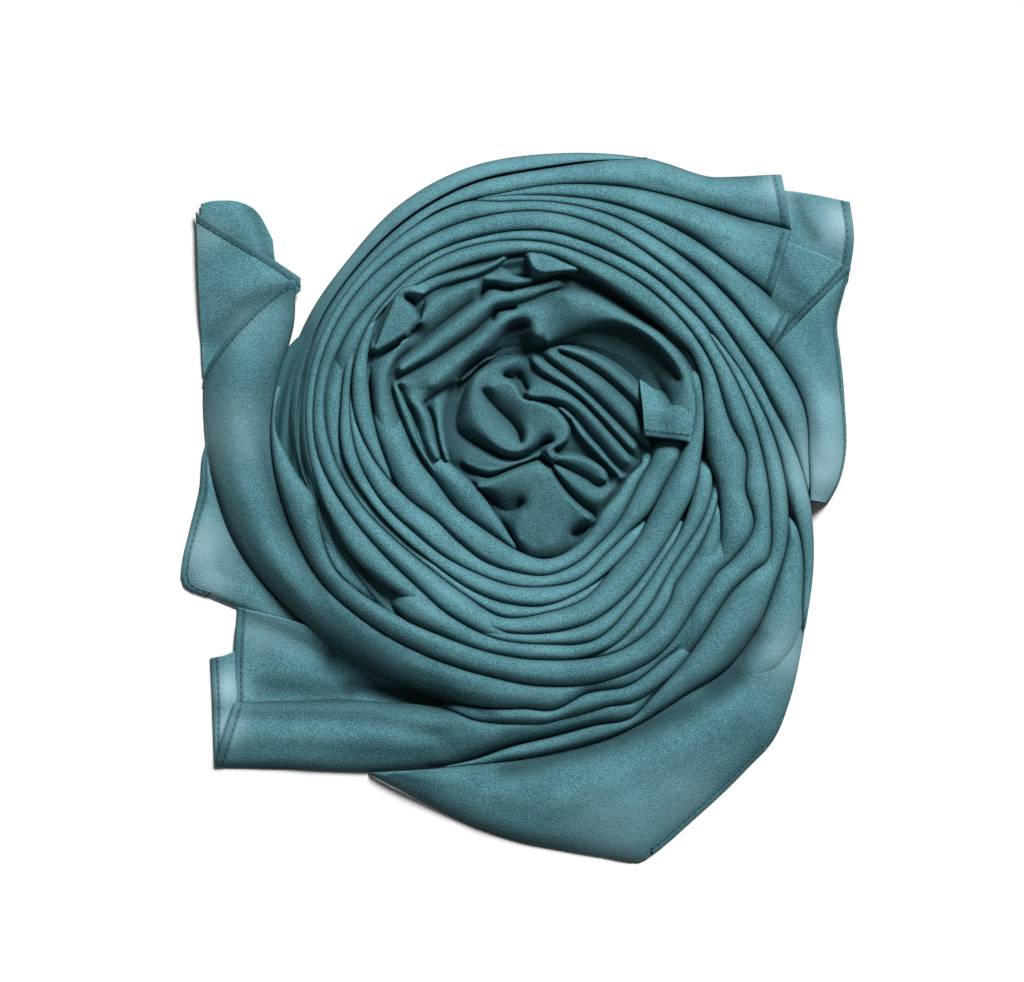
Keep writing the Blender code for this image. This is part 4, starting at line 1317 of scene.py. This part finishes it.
@dataclass
class Heart:
    """The gathered folds in the middle of the rose."""

    wall: float = 0.6
    patch: Relief = Relief(
        "middle",
        low=(-57, -60),
        high=(57, 60),
        # Painted shade over the whole middle, darker as the sunken heart of the rose.
        depth=0.36,
        outline=(
            (53, 0), (52, 20), (48, 38), (36, 50), (20, 56), (0, 57), (-20, 56), (-38, 50), (-50, 38), (-55, 18),
            (-55, 0), (-50, -11), (-43, -20), (-36, -29), (-28, -39), (-19, -48), (-9, -55.5), (0, -56), (10, -54),
            (20, -46), (30, -33), (40, -20), (50, -8),
        ),
        lines=(
            ReliefLine(Form.CREASE, 11, (
                (48, 35), (33.5, 46), (22.5, 51.5), (10, 55), (0, 54), (-12.5, 53.5), (-24, 52), (-35, 47),
                (-44, 38.5), (-49, 27.5), (-51, 15), (-49.5, 2.5), (-44.5, -6), (-37.5, -12.5), (-29, -22.5),
                (-21, -34), (-14.5, -45), (-9, -52))),
            ReliefLine(Form.CREASE, 11, (
                (-9, -52), (-2.5, -52.5), (6.5, -51), (15, -45), (22.5, -36), (29.5, -26.5), (35, -18.5),
                (41, -11.5), (47.5, -5), (52.5, 1.5))),
            ReliefLine(Form.CREASE, 9, ((-52, -4), (-46, -13), (-38, -22.5), (-31, -32), (-23, -42), (-14, -51))),
            # The cup of the S-shaped fold.
            ReliefLine(Form.CREASE, 10, (
                (-10, 50.5), (-22.5, 48), (-32.5, 43), (-39, 35.5), (-42.5, 26.5), (-44.5, 17.5), (-43.5, 11.5),
                (-37.5, 7.5), (-29, 3), (-21, -1), (-14, -2), (-7.5, 0), (-1, 5), (3, 7))),
            ReliefLine(Form.CREST, 20, (
                (-15, 46.5), (-25, 43.5), (-32.5, 39), (-35, 33.5), (-35.5, 26.5), (-34, 18.5), (-29, 11), (-22.5, 4.5),
                (-15, 2), (-9, 4.5), (-7, 11), (-7.5, 15.5))),
            ReliefLine(Form.CREASE, 16, (
                (-30.5, 31.5), (-26.5, 25.5), (-21, 20), (-16, 15.5), (-12.5, 10.5), (-12, 6.5)), end_height=11),
            ReliefLine(Form.CREST, 22, (
                (-26.5, 34), (-21, 35.5), (-16, 33.5), (-13, 28.5), (-5, 25.5), (2.5, 22), (8, 17), (10.5, 12),
                (9, 7), (4, 4), (1.5, 1.5), (3.5, -1.5))),
            ReliefLine(Form.CREASE, 11, (
                (-20, 39.5), (-15, 37), (-12, 32.5), (-10.5, 28), (-2.5, 26.5), (5.5, 23.5), (11, 17.5), (13, 11.5),
                (11, 5.5), (5.5, 2.5), (8.5, 0.5))),
            ReliefLine(Form.CREASE, 8, ((-13.5, 40), (-11, 36), (-9, 32.5))),
            # The band under it and the lower lobe.
            ReliefLine(Form.CREST, 15, ((-38.5, -3.5), (-30, -5.5), (-21, -6), (-12.5, -4), (-3.5, -1))),
            ReliefLine(Form.CREASE, 9, (
                (-41.5, -5.5), (-33.5, -9.5), (-27.5, -11), (-20, -8), (-10, -4), (-2.5, -1.5), (1.5, -4))),
            ReliefLine(Form.CREST, 21, (
                (-33.5, -16), (-25, -14), (-16.5, -10), (-9, -7), (-3.5, -6), (1.5, -9.5), (5.5, -15.5),
                (10.5, -22), (16.5, -27.5), (21.5, -31.5))),
            ReliefLine(Form.CREASE, 10, (
                (-2.5, -2), (2.5, -5.5), (6, -11), (11, -18), (17.5, -24.5), (24.5, -30.5), (23.5, -35.5),
                (19, -38), (14, -39.5)), end_height=8),
            ReliefLine(Form.CREASE, 11, ((-29, -21), (-22, -27), (-16, -28), (-11.5, -23.5))),
            ReliefLine(Form.CREST, 22, ((-3.5, -9), (-3, -14), (-2.5, -21), (-5, -30), (-6.5, -38), (-5.5, -45)), end_height=17),
            ReliefLine(Form.CREST, 21.5, ((4.5, -19), (3, -26), (1, -34), (-1, -42)), end_height=18),
            ReliefLine(Form.CREST, 20.5, ((12, -26), (9, -31), (6, -36), (3, -43)), end_height=17),
            ReliefLine(Form.CREST, 19, ((-11, -31), (-13, -36), (-11.5, -42)), end_height=17),
            # Small folds right of the middle.
            ReliefLine(Form.CREST, 17, ((5.5, -1.5), (13.5, -1.5), (21.5, -4), (27.5, -8), (29, -12))),
            ReliefLine(Form.CREASE, 11, ((5.5, -4), (12.5, -7.5), (20, -11.5), (26, -15.5), (29.5, -14.5))),
            ReliefLine(Form.CREST, 16, ((5.5, -6.5), (12.5, -11), (20, -16), (27.5, -20), (31, -17.5))),
            ReliefLine(Form.CREASE, 10, ((7.5, 1.5), (16.5, 0.5), (25, -3), (31, -8), (32, -13.5))),
            ReliefLine(Form.CREASE, 8, ((2, 57), (20, 56), (36.5, 50), (48, 38), (52.5, 20))),
            # Long folds from the upper right.
            ReliefLine(Form.CREST, 17, ((7.5, 53), (20, 49.5), (30, 43.5), (40, 35), (47.5, 27.5))),
            ReliefLine(Form.CREASE, 12, (
                (7.5, 51.5), (17.5, 46.5), (27.5, 40), (36.5, 32.5), (44, 25), (49, 16.5), (52.5, 7.5))),
            ReliefLine(Form.CREST, 17, ((2.5, 50), (15, 41.5), (26, 33.5), (36, 24.5), (45, 15), (51.5, 6))),
            ReliefLine(Form.CREASE, 12, (
                (-5, 51.5), (5, 44), (15, 36.5), (25, 27.5), (35, 17.5), (45, 7.5), (52.5, 1.5))),
            ReliefLine(Form.CREST, 17, ((-5, 46.5), (5, 39), (16, 32), (26, 22.5), (35, 13), (43.5, 4))),
            ReliefLine(Form.CREASE, 12, (
                (-8.5, 47.5), (-2.5, 40), (7.5, 34.5), (17.5, 27.5), (26, 19), (34, 10), (41.5, 1.5), (46.5, -4))),
            ReliefLine(Form.CREST, 17.5, ((-7.5, 31), (1.5, 30.5), (10.5, 27.5), (18.5, 22), (26, 14), (33.5, 5.5), (41, -3))),
            ReliefLine(Form.CREASE, 12, (
                (-7.5, 27), (2.5, 26.5), (10.5, 23), (16, 17.5), (21.5, 10.5), (27.5, 4), (33.5, -3.5), (39.5, -9.5))),
            ReliefLine(Form.CREST, 16, ((7.5, 22.5), (13.5, 17.5), (19, 10), (25.5, 2.5), (32.5, -5), (37.5, -10.5))),
            ReliefLine(Form.CREASE, 11, ((12, 17.5), (15.5, 10), (21.5, 3), (28.5, -4), (35, -10.5))),
        ),
    )

    basin: Relief = Relief(
        "basin",
        low=(-87, -15),
        high=(79, 104),
        spacing=0.62,
        low_end=4.0,
        # A little painted shade over the whole basin.
        depth=0.12,
        crease=20.0,
        crest=28.0,
        outline=from_picture(
            (403, 484), (391, 468), (384, 455), (377, 432), (373, 409), (371, 390), (371, 372), (368, 361), (374, 340), (386, 312), (397, 293),
            (404, 285), (420, 280), (445, 271), (475, 265), (495, 258), (512, 250), (530, 249), (550, 253),
            (575, 264), (600, 278), (625, 294), (650, 313), (672, 334), (690, 357), (700, 378), (702, 400),
            (700, 425), (692, 445), (684, 460), (655, 462), (648, 450), (640, 436), (638, 386), (612, 367),
            (590, 356), (565, 350), (545, 352), (520, 353), (497, 356), (478, 366), (462, 382), (452, 402),
            (448, 425), (451, 450), (454, 468), (460, 482)),
        lines=(
            ReliefLine(Form.CREASE, 23, from_picture(
                (376, 345), (384, 322), (395, 299), (404, 288), (417, 284), (441, 275), (470, 269), (493, 263),
                (505, 256), (520, 252), (535, 253), (548, 256), (570, 266), (580, 271), (600, 282), (620, 295),
                (640, 309), (660, 326), (680, 348), (694, 368), (700, 385))),
            ReliefLine(Form.CREASE, 21, from_picture(
                (370, 368), (371, 390), (373, 409), (377, 432), (384, 455), (394, 474), (404, 488))),
            # Pockets and the first bands under the rim.
            ReliefLine(Form.CREASE, 12, from_picture((507, 268), (516, 264), (525, 264), (527, 276), (514, 274))),
            ReliefLine(Form.CREST, 25, from_picture((416, 289), (440, 281), (470, 275), (490, 268), (503, 260))),
            ReliefLine(Form.CREASE, 21, from_picture(
                (425, 298), (440, 291), (460, 284), (480, 278), (495, 271), (506, 263))),
            ReliefLine(Form.CREST, 29, from_picture((530, 258), (533, 268), (543, 273), (557, 272), (574, 271))),
            ReliefLine(Form.CREST, 28, from_picture((530, 259), (545, 261), (560, 266), (575, 270))),
            ReliefLine(Form.CREASE, 16, from_picture(
                (503, 290), (518, 289), (533, 285), (545, 282), (560, 277), (575, 276), (590, 282), (605, 291),
                (620, 301), (635, 312), (650, 322), (662, 332))),
            ReliefLine(Form.CREST, 23, from_picture((487, 279), (500, 280), (515, 283), (530, 283))),
            ReliefLine(Form.CREASE, 12, from_picture((480, 300), (485, 290), (492, 286), (503, 290), (512, 291))),
            ReliefLine(Form.CREST, 27, from_picture(
                (420, 490), (408, 474), (398, 456), (388, 430), (383, 405), (383, 385), (388, 368), (398, 350), (412, 333), (425, 317),
                (440, 304), (458, 295), (474, 288))),
            ReliefLine(Form.CREASE, 20, from_picture(
                (440, 486), (425, 463), (417, 450), (408, 434), (400, 414), (394, 396), (391, 380), (397, 365), (405, 357),
                (420, 345), (437, 331), (453, 318), (468, 307), (480, 299))),
            ReliefLine(Form.CREST, 27, from_picture(
                (402, 370), (415, 361), (435, 346), (460, 326), (480, 310), (497, 300), (515, 296), (535, 292),
                (556, 286)), end_height=22),
            ReliefLine(Form.CREASE, 20, from_picture(
                (397, 380), (413, 371), (435, 360), (455, 347), (475, 333), (488, 321), (494, 314)), end_height=15),
            ReliefLine(Form.CREASE, 13, from_picture((493, 321), (497, 312), (506, 310), (515, 309))),
            ReliefLine(Form.CREASE, 19, from_picture(
                (515, 307), (535, 300), (550, 293), (570, 290), (590, 293), (607, 301), (625, 312), (645, 324),
                (662, 334), (680, 352), (692, 371)), end_height=21),
            # The broad band above the middle.
            ReliefLine(Form.CREST, 25, from_picture(
                (432, 385), (452, 367), (470, 352), (485, 339), (498, 325), (512, 317), (527, 312), (537, 318),
                (538, 335))),
            ReliefLine(Form.TROUGH, 20, from_picture((556, 297), (553, 312), (549, 328), (548, 342))),
            ReliefLine(Form.CREST, 25, from_picture(
                (566, 300), (585, 305), (610, 315), (635, 327), (655, 340), (671, 356), (683, 375), (689, 396),
                (690, 416), (689, 434))),
            ReliefLine(Form.CREASE, 17, from_picture(
                (425, 404), (440, 394), (455, 384), (470, 374), (481, 364), (491, 353), (500, 342), (508, 332),
                (516, 326), (526, 326)), end_height=14),
            ReliefLine(Form.CREASE, 13, from_picture(
                (505, 343), (515, 340), (527, 340), (529, 346), (545, 347), (555, 344), (566, 340), (577, 336),
                (590, 332), (605, 329), (620, 329), (635, 333), (650, 344), (662, 357), (672, 370), (677, 380)),
                end_height=18),
            ReliefLine(Form.CREASE, 10, from_picture(
                (638, 384), (612, 364), (590, 353), (565, 346), (545, 350), (520, 350), (497, 353), (477, 363),
                (460, 380), (450, 402), (446, 425), (449, 450), (452, 468))),
            ReliefLine(Form.CREASE, 13, from_picture((585, 343), (610, 350), (635, 363), (650, 378))),
            ReliefLine(Form.TROUGH, 17, from_picture((403, 383), (414, 388), (426, 393))),
            # Bands that run down the left side.
            ReliefLine(Form.CREST, 25, from_picture((397, 387), (402, 402), (409, 421), (417, 441), (428, 460), (445, 482))),
            ReliefLine(Form.CREASE, 19, from_picture(
                (399, 387), (405, 399), (412, 412), (417, 426), (421, 441), (428, 456), (438, 470), (452, 486))),
            ReliefLine(Form.CREST, 25, from_picture((412, 399), (422, 411), (428, 425), (431, 440), (437, 458))),
            ReliefLine(Form.CREASE, 17, from_picture((425, 405), (432, 416), (436, 431), (439, 446), (444, 462))),
            ReliefLine(Form.CREST, 22, from_picture((437, 401), (439, 415), (440, 430), (443, 445), (448, 460))),
            # The curled tip on the left.
            ReliefLine(Form.CREST, 30, from_picture(
                (378, 350), (386, 330), (394, 311), (399, 297), (406, 292), (415, 292), (424, 295))),
            ReliefLine(Form.CREST, 29, from_picture((400, 298), (404, 308), (411, 316), (418, 321))),
            ReliefLine(Form.CREST, 29, from_picture((416, 323), (406, 332), (394, 340), (380, 348))),
            ReliefLine(Form.CREASE, 18, from_picture((407, 299), (414, 303), (419, 309), (420, 316))),
            ReliefLine(Form.CREASE, 19, from_picture((423, 301), (422, 312), (420, 322), (411, 335), (400, 344))),
            ReliefLine(Form.CREASE, 15, from_picture((400, 346), (390, 351), (378, 356), (370, 360))),
            # The ground under the hemmed corner on the right.
            ReliefLine(Form.CREASE, 13, from_picture((648, 370), (656, 381), (663, 394), (664, 408))),
            ReliefLine(Form.CREASE, 12, from_picture((641, 383), (641, 400), (641, 420), (641, 437))),
            ReliefLine(Form.CREASE, 12, from_picture((643, 437), (658, 439), (673, 442), (688, 444))),
            ReliefLine(Form.CREASE, 18, from_picture((694, 374), (697, 390), (697, 415), (691, 440), (684, 456))),
        ),
    )

    corner: Layer = Layer("corner_tag", (
        ((47, 39, 8), (54, 38, 8), (64, 38, 12), (75, 39, 18)),
        ((47.5, 33, 19), (55, 30, 16), (64, 30, 20), (74, 31, 23.5)),
        ((48.5, 22, 22.5), (56, 21, 21), (66, 20, 24.5), (74, 20, 24.5)),
        ((49, 9.5, 21.5), (58, 8.4, 22), (66, 7.4, 25), (72, 6.4, 24.5))))
    hems: Hems = field(default_factory=lambda: Hems(hems=(Hem("corner_tag", Edge.END, 0.02, 0.93, width=3.4),)))

    def build(self, cloth: bpy.types.Material, seams: Seams) -> list[bpy.types.Object]:
        """Builds the middle and the basin round it as pieces that stand for their solids.

        Args:
            cloth: The cloth's finish.
            seams: The finishes of the hems and their stitches.

        Returns:
            The pieces.
        """
        heart = put("heart_folds_cloth", self.patch.mesh(self.wall), cloth)
        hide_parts("middle_fold_1", "middle_fold_2", "middle_curl", "middle_s_fold", "middle_lobe")
        self.patch.flat_size()
        corner = self.corner.grid()
        edged = self.hems.build({self.corner.node: corner}, seams.turned, seams.thread)[self.corner.node]
        tag = put("corner_tag_cloth", corner.mesh("corner_tag", self.wall), cloth)
        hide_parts("corner_tag")
        corner.flat_size()
        basin = put("basin_folds_cloth", self.basin.mesh(self.wall), cloth)
        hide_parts("basin_back_fold", "crossing_fold", "inner_back_fold", "well_fold")
        self.basin.flat_size()
        return [heart, basin, tag, *edged]


@dataclass
class LooseLayers:
    """The single layers that lie loose at the corners of the heap."""

    wall: float = 0.6
    layers: tuple[Layer, ...] = (
        Layer("back_corner", (
            ((106, 133, 3), (106, 116, 4), (106, 92, 3)),
            ((121, 132, 4), (121, 116, 5), (121, 90, 3)),
            ((137.5, 129.5, 3), (137.5, 114, 5), (137.5, 87, 2)),
            ((152, 126.5, 1), (154, 108, 2), (151, 86, 1)))),
        Layer("upper_flap_4", (
            ((112, 110, 6), (110, 96, 7), (106, 84, 8), (100, 72, 6)),
            ((122.5, 106, 6.5), (119, 92, 7.5), (113, 80, 8), (104, 66, 6)),
            ((137.5, 100.2, 6), (131, 86, 6.5), (122, 73, 7), (110, 58, 5)),
            ((152.5, 93.2, 4.5), (142, 82, 5.5), (129, 69, 5), (114, 51, 3)))),
        Layer("left_middle_layer", (
            ((-174.5, 121, 3), (-173, 80, 3), (-170.9, 38.9, 1)),
            ((-165, 115, 6), (-164, 80, 6), (-163, 44, 2)),
            ((-152.5, 107.5, 7), (-152, 80, 9), (-151.5, 56, 4)),
            ((-140, 100, 7), (-140, 84, 10), (-139.5, 66, 6)),
            ((-122, 88, 4), (-122, 85, 5), (-122, 82, 4)))),
        Layer("left_back_layer", (
            ((-172, 125.5, 2), (-172, 120, 2), (-172, 114, 2)),
            ((-165, 127, 3), (-165, 118, 4), (-164.5, 108, 4)),
            ((-153, 126.5, 3), (-152.5, 114, 5), (-152, 100, 4)),
            ((-143.5, 121, 3), (-142, 108, 5), (-141, 94, 4)),
            ((-136, 107.5, 2), (-135, 98, 4), (-134, 90, 3)))),
        Layer("lower_left_sheet", (
            ((-153.5, -76, 1.5), (-155, -100, 2), (-155, -124, 1)),
            ((-122.5, -84, 5), (-122.5, -102, 4), (-122.5, -124, 3)),
            ((-101, -94, 7), (-98, -108, 5), (-97.5, -124, 4)),
            ((-70, -104, 7), (-70, -114, 6), (-70, -124, 5)),
            ((-40, -112, 8), (-40, -118, 7), (-40, -126, 6)))),
        Layer("lower_left_hem", (
            ((-167, -101.5, 1), (-160, -100, 3), (-154, -97.5, 2)),
            ((-166, -122.5, 1), (-160, -121, 3), (-154, -119, 2)),
            ((-165, -154, 1), (-160, -146, 2), (-155, -134, 2)))),
    )

    def grids(self) -> dict[str, ClothGrid]:
        """The layers' upper faces, by node."""
        return {layer.node: layer.grid() for layer in self.layers}


@dataclass
class Border:
    """The sheets and layers at the edge of the heap, dressed and hemmed."""

    wall: float = 0.6
    sheets: EdgeSheets = field(default_factory=EdgeSheets)
    layers: LooseLayers = field(default_factory=LooseLayers)
    hems: Hems = field(default_factory=Hems)

    def build(self, cloth: bpy.types.Material, seams: Seams) -> list[bpy.types.Object]:
        """Builds each sheet as a piece that stands for its solid, with its hems.

        Args:
            cloth: The cloth's finish.
            seams: The finishes of the hems and their stitches.

        Returns:
            The pieces.
        """
        sheets, layers = self.sheets.grids(), self.layers.grids()
        edged = self.hems.build({**sheets, **layers}, seams.turned, seams.thread)
        made = []
        for group, slot in ((sheets, Slot.TEAL), (layers, Slot.SINGLE)):
            for node, grid in group.items():
                piece = put(f"{node}_cloth", grid.mesh(node, self.wall), cloth)
                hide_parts(node)
                grid.flat_size()
                made += [piece, *edged.get(node, [])]
        return made


@dataclass
class Studio:
    """Pale floor, soft light from the upper right and a camera that looks straight down."""

    width: float = 0.512
    distance: float = 3.0
    aim: tuple[float, float] = (-0.0025, 0.0084)
    sensor: float = 36.0

    def build(self) -> None:
        """Puts the floor, the lights and the camera in the scene."""
        ground = bmesh.new()
        bmesh.ops.create_grid(ground, x_segments=1, y_segments=1, size=3.0)
        data = bpy.data.meshes.new("floor")
        ground.to_mesh(data)
        ground.free()
        floor = bpy.data.objects.new("floor", data)
        paper = bpy.data.materials.new("white_paper")
        paper.use_nodes = True
        paper.node_tree.nodes["Principled BSDF"].inputs["Base Color"].default_value = (0.78, 0.78, 0.78, 1)
        paper.node_tree.nodes["Principled BSDF"].inputs["Roughness"].default_value = 0.9
        data.materials.append(paper)
        bpy.context.scene.collection.objects.link(floor)
        world = bpy.data.worlds.new("studio")
        world.use_nodes = True
        world.node_tree.nodes["Background"].inputs["Color"].default_value = (1, 1, 1, 1)
        world.node_tree.nodes["Background"].inputs["Strength"].default_value = 0.12
        bpy.context.scene.world = world
        self.lamp("key_light", (0.5, 1.0, 1.0), 20.0, 5.7)
        self.camera()

    def lamp(self, name: str, place: Point, spread: float, power: float) -> None:
        """Adds one large, even soft light that faces the scarf.

        Args:
            name: Name of the light.
            place: Where it shines from.
            spread: How wide it looks from the scarf, in degrees.
            power: Its strength in watts a square metre.
        """
        data = bpy.data.lights.new(name, "SUN")
        data.angle = math.radians(spread)
        data.energy = power
        lamp = bpy.data.objects.new(name, data)
        lamp.location = place
        lamp.rotation_euler = (-Vector(place)).to_track_quat("-Z", "Y").to_euler()
        bpy.context.scene.collection.objects.link(lamp)

    def camera(self) -> None:
        """Adds the camera, level with the photograph's frame."""
        data = bpy.data.cameras.new("camera")
        data.sensor_width = self.sensor
        data.lens = self.sensor * self.distance / self.width
        data.clip_end = 20.0
        eye = bpy.data.objects.new("camera", data)
        eye.location = (self.aim[0], self.aim[1], self.distance)
        bpy.context.scene.collection.objects.link(eye)
        bpy.context.scene.camera = eye


def main() -> None:
    """Builds the scarf's pieces in order and reports each one."""
    logging.basicConfig(level=logging.INFO, format="%(message)s")
    log = logging.getLogger("scarf")
    bpy.context.scene.view_settings.view_transform = "Standard"
    grain = CrepeGrain().group()
    teal = CrepeLook(
        "teal_crepe", (0.03, 0.11, 0.13, 1), (0.102, 0.262, 0.3, 1), (0.3, 0.47, 0.52, 1)
    ).material(grain)
    # Darker copy of the teal: painted shade for the hidden layers under the heap.
    deep = CrepeLook(
        "shaded_crepe", (0.026, 0.085, 0.1, 1), (0.036, 0.11, 0.128, 1), (0.3, 0.5, 0.55, 1)
    ).material(grain)
    turned = CrepeLook(
        "hem_crepe", (0.022, 0.08, 0.096, 1), (0.062, 0.17, 0.2, 1), (0.14, 0.28, 0.32, 1)
    ).material(grain)
    thread = CrepeLook(
        "teal_thread", (0.018, 0.06, 0.072, 1), (0.03, 0.09, 0.105, 1), (0.3, 0.5, 0.55, 1)
    ).material(grain)
    seams = Seams(turned, thread)
    pieces = HiddenCloth().build(deep) + Coil().build(teal, seams)
    pieces += Border().build(teal, seams) + Heart().build(teal, seams)
    for piece in pieces:
        log.info("%s: %d faces", piece.name, len(piece.data.polygons))
    Studio().build()


if __name__ == "__main__":
    main()
